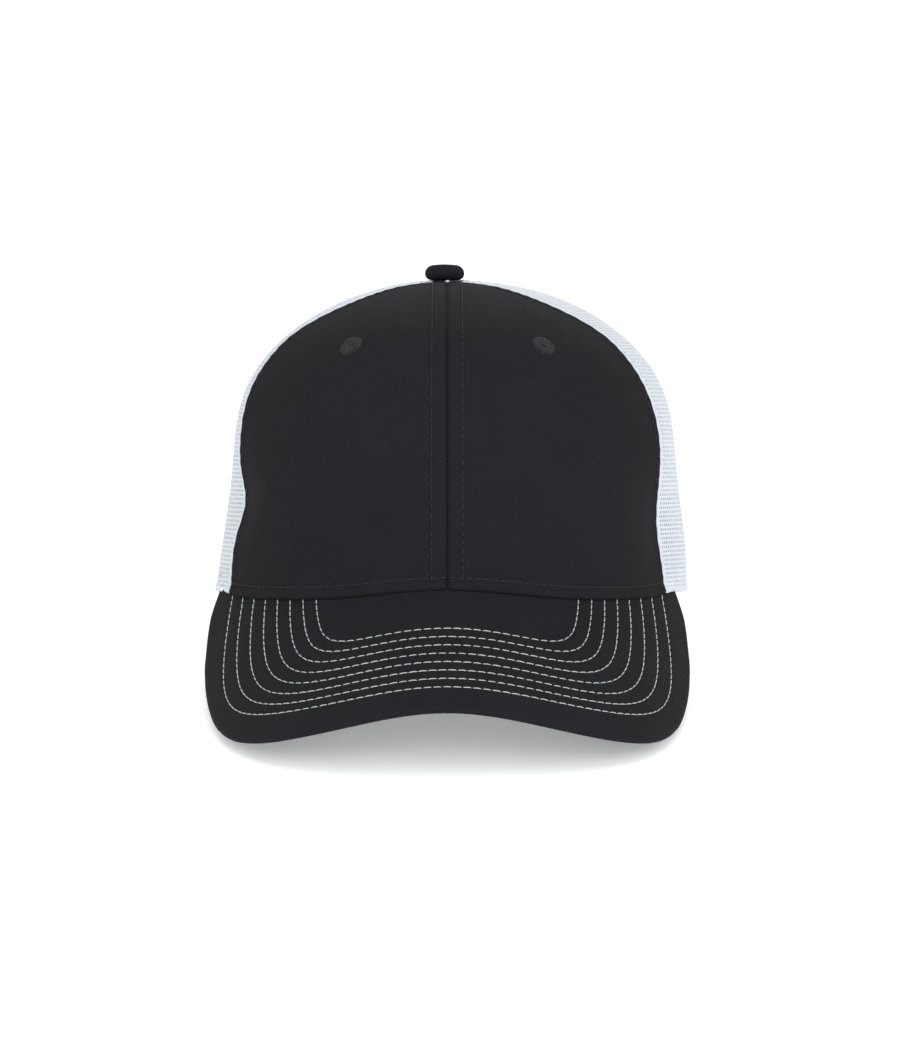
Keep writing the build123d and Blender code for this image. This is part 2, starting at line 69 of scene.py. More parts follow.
def resting(points):
    """Points of the upright cap in millimetres, put where they rest, in metres."""
    p = np.asarray(points, float) * MM
    x = p[..., 0] + RIM_MIDDLE.x
    y = p[..., 1] * BACK.y + p[..., 2] * UP.y + RIM_MIDDLE.y
    z = p[..., 1] * BACK.z + p[..., 2] * UP.z + RIM_MIDDLE.z
    return np.stack([x, y, z], axis=-1)


# ---- Camera, light and floor -------------------------------------------------------------
# A long lens looks at the front, a little above the level of the rim. Broad soft lights over
# a white floor leave only a short shadow under the visor.

CAMERA_DISTANCE = 1.8
CAMERA_RISE = math.radians(2.0)
LENS = 165.4
SENSOR_HEIGHT = 36.0
AIM_SIDE = 1.0
AIM_UP = 25.8

view_angle = LEAN_BACK + CAMERA_RISE
toward_camera = Vector((0, -math.cos(view_angle), math.sin(view_angle)))
camera_up = Vector((0, math.sin(view_angle), math.cos(view_angle)))
aim = RIM_MIDDLE + Vector((AIM_SIDE * MM, 0, 0)) + camera_up * AIM_UP * MM
camera_data = bpy.data.cameras.new("camera")
camera_data.sensor_fit = "VERTICAL"
camera_data.sensor_height = SENSOR_HEIGHT
camera_data.lens = LENS
camera_data.clip_end = 100
camera = bpy.data.objects.new("camera", camera_data)
scene.collection.objects.link(camera)
camera.location = RIM_MIDDLE + toward_camera * CAMERA_DISTANCE
camera.rotation_euler = (aim - camera.location).to_track_quat("-Z", "Y").to_euler()
scene.camera = camera
scene.view_settings.view_transform = "Standard"
scene.view_settings.look = "None"


def soft_light(name, place, size, power, target):
    """Square area light that faces a target."""
    data = bpy.data.lights.new(name, "AREA")
    data.shape = "SQUARE"
    data.size = size
    data.energy = power
    light = bpy.data.objects.new(name, data)
    scene.collection.objects.link(light)
    light.location = place
    light.rotation_euler = (Vector(target) - Vector(place)).to_track_quat("-Z", "Y").to_euler()
    return light


soft_light("light_top", (0.1, -0.5, 1.6), 1.5, 12, (0, 0, 0))
soft_light("light_front", (0, -2.0, 0.6), 1.4, 17, (0, -0.1, 0))
soft_light("light_front_left", (-1.1, -1.5, 0.9), 1.2, 10, (0, 0, 0.06))
soft_light("light_front_right", (1.1, -1.5, 0.9), 1.2, 16, (0, 0, 0.06))
soft_light("light_back", (0, 1.4, 1.0), 1.0, 5, (0, 0, 0.08))

world = bpy.data.worlds.new("studio")
world.use_nodes = True
world.node_tree.nodes["Background"].inputs["Color"].default_value = (0.97, 0.985, 1.0, 1)
world.node_tree.nodes["Background"].inputs["Strength"].default_value = 0.7
scene.world = world

FLOOR_SIZE = 60.0
floor_mesh = bpy.data.meshes.new("floor")
half = FLOOR_SIZE / 2
floor_corners = [(-half, -half, 0), (half, -half, 0), (half, half, 0), (-half, half, 0)]
floor_mesh.from_pydata(floor_corners, [], [(0, 1, 2, 3)])
floor = bpy.data.objects.new("floor", floor_mesh)
scene.collection.objects.link(floor)
floor_paint = bpy.data.materials.new("floor_paint")
floor_paint.use_nodes = True
floor_paint.node_tree.nodes["Principled BSDF"].inputs["Base Color"].default_value = (0.93, 0.93, 0.93, 1)
floor_paint.node_tree.nodes["Principled BSDF"].inputs["Roughness"].default_value = 0.9
floor_paint.node_tree.nodes["Principled BSDF"].inputs["Emission Color"].default_value = (1, 1, 1, 1)
floor_paint.node_tree.nodes["Principled BSDF"].inputs["Emission Strength"].default_value = 0.22
floor_mesh.materials.append(floor_paint)


# ---- Crown shape -------------------------------------------------------------------------
# Six panels are sewn to one rounded form: an upright front, fuller sides and a round back.
# The stiff front holds its shape, and the soft sides give way a little behind it.

RIM_HALF_WIDTH = 88.0
RIM_FRONT = 98.0
RIM_BACK = 100.0
CROWN_HEIGHT = 117.5
SIDE_FULLNESS = 4.0
FRONT_FULLNESS = 4.6
BACK_FULLNESS = 3.0
SIDE_LEAN = 0.06
FRONT_LEAN = 0.10
BACK_SEAM = 122.0
TOP_RISE = 0.9985
CLOTH = 0.8
SWAY = 2.6
SIDE_FULL = 1.6
SEAM_FULL = 1.6
FRONT_SETTLE = 1.4
SIDE_DENT = 2.0
SEAM_DENTS = {1: (1.9, 26, 15), -1: (3.7, 35, 11)}


def step(low, high, value):
    """Smooth rise from 0 at low to 1 at high."""
    t = np.clip((value - low) / (high - low), 0, 1)
    return t * t * (3 - 2 * t)


def hill(value, middle, width):
    """Smooth bump of height 1."""
    return np.exp(-((value - middle) / width) ** 2)


def crown(bearing, height, out=0.0):
    """Points on the crown: degrees from the visor towards the wearer's left, millimetres above
    the rim, and millimetres out from the cloth's face."""
    bearing, height, out = np.broadcast_arrays(
        np.asarray(bearing, float), np.asarray(height, float), np.asarray(out, float))
    h = np.clip(height / (CROWN_HEIGHT + out), 0, TOP_RISE)
    side = (RIM_HALF_WIDTH + out) * (1 - SIDE_LEAN * h) * np.sqrt(1 - h ** SIDE_FULLNESS)
    front = (RIM_FRONT + out) * (1 - FRONT_LEAN * h) * np.sqrt(1 - h ** FRONT_FULLNESS)
    back = (RIM_BACK + out) * np.sqrt(1 - h ** BACK_FULLNESS)
    turn = np.radians(bearing)
    sx, cy = np.sin(turn), np.cos(turn)
    deep = np.where(cy > 0, front, back)
    reach = 1 / np.sqrt((sx / side) ** 2 + (cy / deep) ** 2)
    turned = np.abs((bearing + 180) % 360 - 180)
    soft = step(60, 85, turned) * (1 - step(125, 155, turned)) * (1 - step(112, 119, height))
    dent = SIDE_DENT * hill(turned, 90, 26) * hill(height, 42, 22)
    for hand, (depth, middle, spread) in SEAM_DENTS.items():
        own_side = np.where(hand * sx > 0, depth, 0)
        dent = dent + own_side * hill(turned, 62, 10) * hill(height, middle, spread)
    full = SIDE_FULL * hill(turned, 95, 38) * hill(height, 84, 20)
    full = full + SEAM_FULL * hill(turned, 64, 15) * hill(height, 75, 20)
    full = full + np.where(sx > 0, SEAM_FULL, 0) * hill(turned, 64, 13) * hill(height, 54, 16)
    reach = reach - dent + full
    x = reach * sx + SWAY * soft * (1 - 0.4 * hill(height, 0, 14))
    settled = height - FRONT_SETTLE * (1 - step(45, 85, turned)) * hill(height, 112, 13)
    return np.stack([x, -reach * cy, settled], axis=-1)


def front_seam(height, side=1):
    """Bearing of the seam between the front and the side mesh, which bows out and runs in at the top."""
    return 61.5 + 1.8 * hill(height, 72, 28) - 12 * step(93, 118, height) + (0.6 if side > 0 else 0)


# Heights at even distances up the cloth, from the rim to the top
_fine = CROWN_HEIGHT * TOP_RISE * (1 - (1 - np.linspace(0, 1, 2000)) ** 2.5)
_path = crown(35.0, _fine)
CLIMB = np.concatenate([[0], np.cumsum(np.linalg.norm(np.diff(_path, axis=0), axis=1))])
TOP_CLIMB = CLIMB[-1]


def height_at(climb):
    """Height of the crown at a distance up the cloth; below the rim the two are the same."""
    climb = np.asarray(climb, float)
    return np.where(climb < 0, climb, np.interp(climb, CLIMB, _fine))


def climb_at(height):
    """Distance up the cloth at a height of the crown."""
    height = np.asarray(height, float)
    return np.where(height < 0, height, np.interp(height, _fine, CLIMB))


# The visor is one sheet, bent about a line that runs down its slope. Its top meets the crown
# along the foot of the front.
VISOR_SLOPE = math.radians(35.5)
VISOR_BEND = 108.5
VISOR_ROOT_HEIGHT = 3.8
VISOR_CREST = 0.6
VISOR_TIP_BEARING = 70.0


def visor_drop(x):
    """How far the bent visor lies below its crest, square to the slope."""
    round_drop = VISOR_BEND - np.sqrt(np.maximum(VISOR_BEND ** 2 - x ** 2, 1.0))
    return round_drop - VISOR_CREST * np.cos(np.pi * x / 40) * (1 - step(60, 90, np.abs(x)))


def visor(x, forward, up=0.0):
    """Points over the visor: across, down the slope from the crown, and up from its face."""
    x, forward, up = np.broadcast_arrays(
        np.asarray(x, float), np.asarray(forward, float), np.asarray(up, float))
    tilt = x / VISOR_BEND
    drop = visor_drop(x) - up * np.sqrt(np.maximum(1 - tilt ** 2, 0))
    s, c = math.sin(VISOR_SLOPE), math.cos(VISOR_SLOPE)
    back = -RIM_FRONT - forward * c + drop * s
    return np.stack([x + up * tilt, back, VISOR_ROOT_HEIGHT - forward * s - drop * c], axis=-1)


def join_height(bearing):
    """Height at which the face of the crown meets the top of the visor."""
    bearing = np.asarray(bearing, float)
    foot = crown(bearing, 0.0)
    x, y = foot[..., 0], foot[..., 1]
    s, c = math.sin(VISOR_SLOPE), math.cos(VISOR_SLOPE)
    forward = (-RIM_FRONT + visor_drop(x) * s - y) / c
    height = VISOR_ROOT_HEIGHT - forward * s - visor_drop(x) * c
    behind = step(VISOR_TIP_BEARING - 4, VISOR_TIP_BEARING + 8, np.abs(bearing))
    return height * (1 - behind)


def mesh_object(name, points, faces, smooth=True):
    """Mesh piece from points of the upright cap in millimetres."""
    mesh = bpy.data.meshes.new(name)
    mesh.from_pydata(resting(points).reshape(-1, 3).tolist(), [], faces)
    mesh.update()
    mesh.polygons.foreach_set("use_smooth", [smooth] * len(mesh.polygons))
    piece = bpy.data.objects.new(name, mesh)
    scene.collection.objects.link(piece)
    return piece


def grid_faces(rows, columns, wrap=False):
    """Quads of a grid of points, row by row; wrap joins the last column to the first."""
    faces = []
    for r in range(rows - 1):
        for c in range(columns if wrap else columns - 1):
            d = (c + 1) % columns
            faces.append((r * columns + c, r * columns + d, (r + 1) * columns + d, (r + 1) * columns + c))
    return faces


def map_weave(piece, uv):
    """Lay the cloth's own map, in millimetres across and up, on a piece point by point."""
    layer = piece.data.uv_layers.new(name="weave")
    corner = np.empty(len(piece.data.loops), dtype=int)
    piece.data.loops.foreach_get("vertex_index", corner)
    layer.data.foreach_set("uv", np.asarray(uv)[corner].astype(np.float32).ravel())


def sheet_piece(name, points, flip=False, uv=None):
    """Open grid of cloth. uv holds millimetres across and up the cloth at each point."""
    rows, columns = points.shape[:2]
    faces = grid_faces(rows, columns)
    if flip:
        faces = [tuple(reversed(f)) for f in faces]
    piece = mesh_object(name, points, faces)
    if uv is None:
        across = np.zeros((rows, columns))
        across[:, 1:] = np.cumsum(np.linalg.norm(np.diff(points, axis=1), axis=2), axis=1)
        up = np.zeros((rows, columns))
        up[1:] = np.cumsum(np.linalg.norm(np.diff(points, axis=0), axis=2), axis=0)
        uv = np.stack([across, up], axis=-1)
    map_weave(piece, uv.reshape(-1, 2))
    return piece


def settle(piece):
    """Apply the piece's modifiers and keep one plain mesh."""
    graph = bpy.context.evaluated_depsgraph_get()
    mesh = bpy.data.meshes.new_from_object(piece.evaluated_get(graph), depsgraph=graph)
    old = piece.data
    piece.modifiers.clear()
    piece.data = mesh
    mesh.name = piece.name
    bpy.data.meshes.remove(old)
    return piece


def thicken(piece, thickness, offset=-1.0):
    """Give a sheet its thickness in millimetres, inwards from its face, with closed edges."""
    solid = piece.modifiers.new("thickness", "SOLIDIFY")
    solid.thickness = thickness * MM
    solid.offset = offset
    solid.use_even_offset = False
    solid.use_rim = True
    return settle(piece)


def finish_piece(piece, body, material=None, nodes=()):
    """Paint a finished piece, and say what it moves with and stands for."""
    if material is not None:
        piece.data.materials.clear()
        piece.data.materials.append(material)
    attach(piece, body)
    if nodes:
        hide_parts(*nodes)


# ---- Twill -------------------------------------------------------------------------------
# Polyester and cotton twill: fine slanting wales, with painted shade in the furrows between them,
# under a soft, slightly uneven dark dye. The same group serves the front, the visor, the button and the
# inside tapes.

def group_socket(group, name, direction, kind, value=None):
    """Named socket of a node group."""
    socket = group.interface.new_socket(name=name, in_out=direction, socket_type=kind)
    if value is not None:
        socket.default_value = value
    return socket


def calc(tree, operation, a, b=None, c=None):
    """Math node with each input a number or an output."""
    node = tree.nodes.new("ShaderNodeMath")
    node.operation = operation
    for i, value in enumerate((a, b, c)):
        if value is None:
            continue
        if isinstance(value, (int, float)):
            node.inputs[i].default_value = value
        else:
            tree.links.new(value, node.inputs[i])
    return node.outputs[0]


def noise(tree, coordinate, scale, detail=2.0, roughness=0.5):
    """Value of a noise texture on a coordinate."""
    node = tree.nodes.new("ShaderNodeTexNoise")
    node.inputs["Scale"].default_value = scale
    node.inputs["Detail"].default_value = detail
    node.inputs["Roughness"].default_value = roughness
    tree.links.new(coordinate, node.inputs["Vector"])
    return node.outputs["Fac"]


def make_twill_group():
    """Node group of the twill: colour with painted shade in its furrows, roughness and height from
    millimetres on the cloth.
    """
    group = bpy.data.node_groups.new("twill", "ShaderNodeTree")
    group_socket(group, "Cloth", "INPUT", "NodeSocketVector")
    group_socket(group, "Wale Pitch", "INPUT", "NodeSocketFloat", 0.8)
    group_socket(group, "Wale Angle", "INPUT", "NodeSocketFloat", math.radians(58))
    # The furrow colour is painted shade: the furrows between the wales are darkened in the colour itself.
    group_socket(group, "Furrow Shade Colour", "INPUT", "NodeSocketColor", (0.0015, 0.0015, 0.002, 1))
    group_socket(group, "Wale Colour", "INPUT", "NodeSocketColor", (0.0145, 0.0138, 0.018, 1))
    group_socket(group, "Colour", "OUTPUT", "NodeSocketColor")
    group_socket(group, "Roughness", "OUTPUT", "NodeSocketFloat")
    group_socket(group, "Height", "OUTPUT", "NodeSocketFloat")
    enter = group.nodes.new("NodeGroupInput")
    leave = group.nodes.new("NodeGroupOutput")
    split = group.nodes.new("ShaderNodeSeparateXYZ")
    group.links.new(enter.outputs["Cloth"], split.inputs[0])
    u, v = split.outputs["X"], split.outputs["Y"]
    sine = calc(group, "SINE", enter.outputs["Wale Angle"])
    cosine = calc(group, "COSINE", enter.outputs["Wale Angle"])
    wander = noise(group, enter.outputs["Cloth"], 0.35, 2.0)
    across = calc(group, "SUBTRACT", calc(group, "MULTIPLY", u, sine), calc(group, "MULTIPLY", v, cosine))
    across = calc(group, "ADD", across, calc(group, "MULTIPLY", wander, 0.5))
    along = calc(group, "ADD", calc(group, "MULTIPLY", u, cosine), calc(group, "MULTIPLY", v, sine))
    phase = calc(group, "DIVIDE", calc(group, "MULTIPLY", across, 2 * math.pi), enter.outputs["Wale Pitch"])
    wale = calc(group, "MULTIPLY_ADD", calc(group, "SINE", phase), 0.5, 0.5)
    bead_phase = calc(group, "ADD", calc(group, "MULTIPLY", along, 2 * math.pi / 0.55),
                      calc(group, "MULTIPLY", phase, 0.5))
    bead = calc(group, "MULTIPLY_ADD", calc(group, "SINE", bead_phase), 0.5, 0.5)
    fibre = noise(group, enter.outputs["Cloth"], 3.5, 4.0, 0.65)
    height = calc(group, "MULTIPLY_ADD", bead, 0.25, calc(group, "MULTIPLY_ADD", fibre, 0.5, wale))
    mixer = group.nodes.new("ShaderNodeMix")
    mixer.data_type = "RGBA"
    # Fibre noise gives random lint in the tone, and the wale wave paints the furrows darker as shade, in
    # step with the height.
    tone = calc(group, "MULTIPLY_ADD", fibre, 0.55, calc(group, "MULTIPLY_ADD", wale, 0.5, -0.05))
    group.links.new(tone, mixer.inputs["Factor"])
    group.links.new(enter.outputs["Furrow Shade Colour"], mixer.inputs["A"])
    group.links.new(enter.outputs["Wale Colour"], mixer.inputs["B"])
    cloud = noise(group, enter.outputs["Cloth"], 0.045, 3.0, 0.6)
    fade = group.nodes.new("ShaderNodeMix")
    fade.data_type = "RGBA"
    fade.blend_type = "MULTIPLY"
    fade.inputs["Factor"].default_value = 1.0
    shade = group.nodes.new("ShaderNodeCombineColor")
    level = calc(group, "MULTIPLY_ADD", cloud, 0.4, 0.8)
    for channel in range(3):
        group.links.new(level, shade.inputs[channel])
    group.links.new(mixer.outputs["Result"], fade.inputs["A"])
    group.links.new(shade.outputs[0], fade.inputs["B"])
    group.links.new(fade.outputs["Result"], leave.inputs["Colour"])
    group.links.new(calc(group, "MULTIPLY_ADD", fibre, 0.12, 0.78), leave.inputs["Roughness"])
    group.links.new(height, leave.inputs["Height"])
    return group


twill_group = make_twill_group()


def cloth_material(name, group, values, bump, sheen=0.0, sheen_roughness=0.5, specular=0.12):
    """Material of a woven cloth laid out on the piece's own weave map."""
    material = bpy.data.materials.new(name)
    material.use_nodes = True
    tree = material.node_tree
    skin = tree.nodes["Principled BSDF"]
    uv = tree.nodes.new("ShaderNodeUVMap")
    uv.uv_map = "weave"
    weave = tree.nodes.new("ShaderNodeGroup")
    weave.node_tree = group
    for key, value in values.items():
        weave.inputs[key].default_value = value
    tree.links.new(uv.outputs["UV"], weave.inputs["Cloth"])
    relief = tree.nodes.new("ShaderNodeBump")
    relief.inputs["Strength"].default_value = 1.0
    relief.inputs["Distance"].default_value = bump * MM
    tree.links.new(weave.outputs["Height"], relief.inputs["Height"])
    tree.links.new(weave.outputs["Colour"], skin.inputs["Base Color"])
    tree.links.new(weave.outputs["Roughness"], skin.inputs["Roughness"])
    tree.links.new(relief.outputs["Normal"], skin.inputs["Normal"])
    skin.inputs["Sheen Weight"].default_value = sheen
    skin.inputs["Sheen Roughness"].default_value = sheen_roughness
    skin.inputs["Specular IOR Level"].default_value = specular
    return material


front_twill = cloth_material("front_twill", twill_group, {}, 0.16, sheen=0.0)


# ---- Front panels ------------------------------------------------------------------------
# Two panels of twill, folded in and sewn together down the middle, with a row of topstitching
# on each side. Their foot is turned under over the visor, their sides lie on the mesh.

CENTRE_GROOVE = 0.9
CENTRE_ROW = 5.5
SEAM_ROW = 3.0
HEM_ROW = 4.3
ROW_DIP = 0.2
HEM_ROLL = 0.6
HEM_CLEAR = 0.3
PANEL_COLUMNS = 120
PANEL_ROWS = 140
EYELET_BEARING = 28.6
EYELET_HEIGHT = 91.7
EYELET_BORE = 0.8


def outward(bearing, height):
    """Unit vector square to the crown, in the upright cap."""
    along = crown(bearing + 0.2, height) - crown(bearing - 0.2, height)
    upward = crown(bearing, height + 0.1) - crown(bearing, height - 0.1)
    square = np.cross(along, upward)
    return square / np.linalg.norm(square, axis=-1, keepdims=True)


def bore(piece, place, direction, radius):
    """Cut a round hole through a solid piece."""
    bpy.ops.mesh.primitive_cylinder_add(vertices=32, radius=radius * MM, depth=12 * MM)
    tool = bpy.context.object
    tool.location = Vector(resting(place))
    world = Vector(resting(np.asarray(place) + direction)) - tool.location
    tool.rotation_euler = world.to_track_quat("Z", "Y").to_euler()
    cut = piece.modifiers.new("bore", "BOOLEAN")
    cut.object = tool
    cut.solver = "EXACT"
    settle(piece)
    bpy.data.objects.remove(tool)


for side, hand in ((1, "left"), (-1, "right")):
    steps = np.linspace(0, 1, PANEL_COLUMNS)
    share = 0.45 * steps + 0.55 * (0.5 - 0.5 * np.cos(np.pi * steps))
    foot_climb = climb_at(join_height(side * share * front_seam(2.0, side)) + HEM_CLEAR)
    rise = np.linspace(0, 1, PANEL_ROWS)[:, None]
    climb = foot_climb[None, :] + rise * (TOP_CLIMB - foot_climb[None, :])
    height = height_at(climb)
    bearing = side * share[None, :] * front_seam(height, side)
    flat = crown(bearing, height)
    across = np.zeros_like(climb)
    across[:, 1:] = np.cumsum(np.linalg.norm(np.diff(flat, axis=1), axis=2), axis=1)
    from_seam = across[:, -1:] - across
    above_foot = climb - foot_climb[None, :]
    top_fade = 1 - step(TOP_CLIMB - 20, TOP_CLIMB - 4, climb)
    out = -CENTRE_GROOVE * hill(across, 0, 0.8)
    out = out - ROW_DIP * hill(across, CENTRE_ROW, 0.7)
    out = out - ROW_DIP * hill(from_seam, SEAM_ROW, 0.7)
    out = out - ROW_DIP * hill(above_foot, HEM_ROW, 0.7)
    out = out + 0.3 * hill(from_seam, 1.2, 1.6)
    pucker = np.sin(above_foot * 2 * np.pi / 5.3 + np.sin(above_foot / 7) * 2)
    out = out + 0.10 * pucker * np.exp(-from_seam / 4)
    row_pucker = np.sin(above_foot * 2 * np.pi / 4.1 + 1.3 * side)
    out = out + 0.05 * row_pucker * np.exp(-np.abs(across - CENTRE_ROW) / 3)
    out = out + HEM_ROLL * hill(above_foot, 0.9, 2.0) * (1 - 0.6 * hill(across, 0, 1.5))
    out = out - 0.9 * hill(from_seam, 0, 0.3)
    points = crown(bearing, height, out * top_fade)
    uv = np.stack([side * across, climb], axis=-1)
    panel = sheet_piece(f"front_panel_{hand}_twill", points, flip=side < 0, uv=uv)
    thicken(panel, CLOTH)
    bore(panel, crown(side * EYELET_BEARING, EYELET_HEIGHT),
         outward(side * EYELET_BEARING, EYELET_HEIGHT), EYELET_BORE)
    finish_piece(panel, "cap", front_twill, [f"front_panel_{hand}"])


# ---- Thread and stitches -----------------------------------------------------------------
# A stitch is a short length of thread pulled into the cloth at both ends. One tool lays them
# at an even pitch along a path, square to the cloth, with a little unevenness.

def thread_material(name, colour, roughness=0.6):
    """Spun thread: two plies twisted round each other."""
    material = bpy.data.materials.new(name)
    material.use_nodes = True
    tree = material.node_tree
    skin = tree.nodes["Principled BSDF"]
    place = tree.nodes.new("ShaderNodeTexCoord")
    grain = noise(tree, place.outputs["Object"], 900, 3.0, 0.6)
    tint = tree.nodes.new("ShaderNodeMix")
    tint.data_type = "RGBA"
    tint.inputs["A"].default_value = (*[c * 0.7 for c in colour], 1)
    tint.inputs["B"].default_value = (*[min(c * 1.25, 1) for c in colour], 1)
    tree.links.new(grain, tint.inputs["Factor"])
    tree.links.new(tint.outputs["Result"], skin.inputs["Base Color"])
    skin.inputs["Roughness"].default_value = roughness
    skin.inputs["Specular IOR Level"].default_value = 0.3
    return material


black_thread = thread_material("black_thread_spun", (0.0095, 0.0092, 0.0115))
grey_thread = thread_material("grey_thread_spun", (0.36, 0.375, 0.375))
white_thread = thread_material("white_thread_spun", (0.62, 0.65, 0.7))


def uneven(group, low, high, seed):
    """Random number between two for each stitch or hole."""
    node = group.nodes.new("FunctionNodeRandomValue")
    for socket in node.inputs:
        if socket.identifier == "Min_001":
            socket.default_value = low
        elif socket.identifier == "Max_001":
            socket.default_value = high
    group.links.new(seed, node.inputs["Seed"])
    return next(o for o in node.outputs if o.identifier == "Value_001")


def make_sew_group():
    """Node group that sews stitches along the edges of a mesh, whose points carry "up"."""
    group = bpy.data.node_groups.new("sew", "GeometryNodeTree")
    group_socket(group, "Path", "INPUT", "NodeSocketGeometry")
    group_socket(group, "Pitch", "INPUT", "NodeSocketFloat", 0.003)
    group_socket(group, "Stitch", "INPUT", "NodeSocketFloat", 0.0025)
    group_socket(group, "Thread", "INPUT", "NodeSocketFloat", 0.0005)
    group_socket(group, "Bow", "INPUT", "NodeSocketFloat", 0.0003)
    group_socket(group, "Turn", "INPUT", "NodeSocketFloat", 0.0)
    group_socket(group, "Seed", "INPUT", "NodeSocketInt", 1)
    group_socket(group, "Material", "INPUT", "NodeSocketMaterial")
    group_socket(group, "Stitches", "OUTPUT", "NodeSocketGeometry")
    nodes, links = group.nodes, group.links
    enter, leave = nodes.new("NodeGroupInput"), nodes.new("NodeGroupOutput")

    # One stitch along X, bowed up in the middle, thinner at its ends
    line = nodes.new("GeometryNodeCurvePrimitiveLine")
    line.inputs["Start"].default_value = (-0.5, 0, 0)
    line.inputs["End"].default_value = (0.5, 0, 0)
    cut = nodes.new("GeometryNodeResampleCurve")
    cut.inputs["Count"].default_value = 8
    links.new(line.outputs["Curve"], cut.inputs["Curve"])
    share = nodes.new("GeometryNodeSplineParameter")
    swing = calc(group, "MULTIPLY_ADD", share.outputs["Factor"], 2.0, -1.0)
    square = calc(group, "MULTIPLY", swing, swing)
    rise = calc(group, "MULTIPLY", calc(group, "SUBTRACT", 1.0, square), enter.outputs["Bow"])
    rise = calc(group, "SUBTRACT", rise, calc(group, "MULTIPLY", enter.outputs["Bow"], 0.6))
    place = nodes.new("ShaderNodeCombineXYZ")
    half_swing = calc(group, "MULTIPLY", swing, 0.5)
    links.new(calc(group, "MULTIPLY", half_swing, enter.outputs["Stitch"]), place.inputs["X"])
    links.new(rise, place.inputs["Z"])
    bend = nodes.new("GeometryNodeSetPosition")
    links.new(cut.outputs["Curve"], bend.inputs["Geometry"])
    links.new(place.outputs[0], bend.inputs["Position"])
    girth = calc(group, "SQRT", calc(group, "SUBTRACT", 1.02, calc(group, "POWER", square, 3.0)))
    ring = nodes.new("GeometryNodeCurvePrimitiveCircle")
    ring.inputs["Resolution"].default_value = 7
    links.new(calc(group, "MULTIPLY", enter.outputs["Thread"], 0.5), ring.inputs["Radius"])
    skin = nodes.new("GeometryNodeCurveToMesh")
    links.new(bend.outputs["Geometry"], skin.inputs["Curve"])
    links.new(ring.outputs["Curve"], skin.inputs["Profile Curve"])
    links.new(girth, skin.inputs["Scale"])
    skin.inputs["Fill Caps"].default_value = True
    round_off = nodes.new("GeometryNodeSetShadeSmooth")
    links.new(skin.outputs["Mesh"], round_off.inputs["Geometry"])

    # Stitches laid along the path
    curve = nodes.new("GeometryNodeMeshToCurve")
    links.new(enter.outputs["Path"], curve.inputs["Mesh"])
    pace = nodes.new("GeometryNodeResampleCurve")
    pace.mode = "LENGTH"
    links.new(curve.outputs["Curve"], pace.inputs["Curve"])
    links.new(enter.outputs["Pitch"], pace.inputs["Length"])
    up = nodes.new("GeometryNodeInputNamedAttribute")
    up.data_type = "FLOAT_VECTOR"
    up.inputs["Name"].default_value = "up"
    heading = nodes.new("GeometryNodeInputTangent")
    face = nodes.new("FunctionNodeAlignRotationToVector")
    face.axis = "X"
    links.new(heading.outputs[0], face.inputs["Vector"])
    level = nodes.new("FunctionNodeAlignRotationToVector")
    level.axis = "Z"
    level.pivot_axis = "X"
    links.new(face.outputs["Rotation"], level.inputs["Rotation"])
    links.new(up.outputs["Attribute"], level.inputs["Vector"])
    waver = uneven(group, -0.05, 0.05, enter.outputs["Seed"])
    angle = nodes.new("ShaderNodeCombineXYZ")
    links.new(calc(group, "ADD", waver, enter.outputs["Turn"]), angle.inputs["Z"])
    spin = nodes.new("FunctionNodeRotateRotation")
    spin.rotation_space = "LOCAL"
    as_rotation = nodes.new("FunctionNodeEulerToRotation")
    links.new(angle.outputs[0], as_rotation.inputs[0])
    links.new(level.outputs["Rotation"], spin.inputs["Rotation"])
    links.new(as_rotation.outputs[0], spin.inputs["Rotate By"])
    size = uneven(group, 0.94, 1.05, calc(group, "ADD", enter.outputs["Seed"], 7.0))
    lay = nodes.new("GeometryNodeInstanceOnPoints")
    links.new(pace.outputs["Curve"], lay.inputs["Points"])
    links.new(round_off.outputs["Geometry"], lay.inputs["Instance"])
    links.new(spin.outputs[0], lay.inputs["Rotation"])
    links.new(size, lay.inputs["Scale"])
    real = nodes.new("GeometryNodeRealizeInstances")
    links.new(lay.outputs["Instances"], real.inputs["Geometry"])
    paint = nodes.new("GeometryNodeSetMaterial")
    links.new(real.outputs["Geometry"], paint.inputs["Geometry"])
    links.new(enter.outputs["Material"], paint.inputs["Material"])
    links.new(paint.outputs["Geometry"], leave.inputs["Stitches"])
    return group


sew_group = make_sew_group()


def run_nodes(piece, group, values):
    """Run a node group on a piece with these inputs, and keep one plain mesh."""
    tool = piece.modifiers.new(group.name, "NODES")
    tool.node_group = group
    for item in group.interface.items_tree:
        if item.item_type == "SOCKET" and item.in_out == "INPUT" and item.name in values:
            tool[item.identifier] = values[item.name]
    return settle(piece)


def sew(name, paths, material, pitch, stitch, thread, seed, bow=0.3, turn=0.0, body="cap",
        nodes=()):
    """Stitches along paths. Each path is (points, directions out of the cloth), in millimetres."""
    vertices, edges, ups = [], [], []
    for points, ups_here in paths:
        start = len(vertices)
        rest = resting(points)
        tips = resting(np.asarray(points) + np.asarray(ups_here))
        vertices += rest.tolist()
        ups += ((tips - rest) / MM).tolist()
        edges += [(start + i, start + i + 1) for i in range(len(points) - 1)]
    mesh = bpy.data.meshes.new(name)
    mesh.from_pydata(vertices, edges, [])
    attribute = mesh.attributes.new("up", "FLOAT_VECTOR", "POINT")
    attribute.data.foreach_set("vector", np.asarray(ups, np.float32).ravel())
    piece = bpy.data.objects.new(name, mesh)
    scene.collection.objects.link(piece)
    run_nodes(piece, sew_group, {"Pitch": pitch * MM, "Stitch": stitch * MM, "Thread": thread * MM,
                                 "Bow": bow * MM, "Turn": turn, "Seed": seed, "Material": material})
    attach(piece, body)
    if nodes:
        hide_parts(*nodes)
    return piece


def crown_path(bearing, height, out):
    """Stitch path on the crown."""
    bearing, height = np.broadcast_arrays(np.asarray(bearing, float), np.asarray(height, float))
    return crown(bearing, height, out), outward(bearing, height)


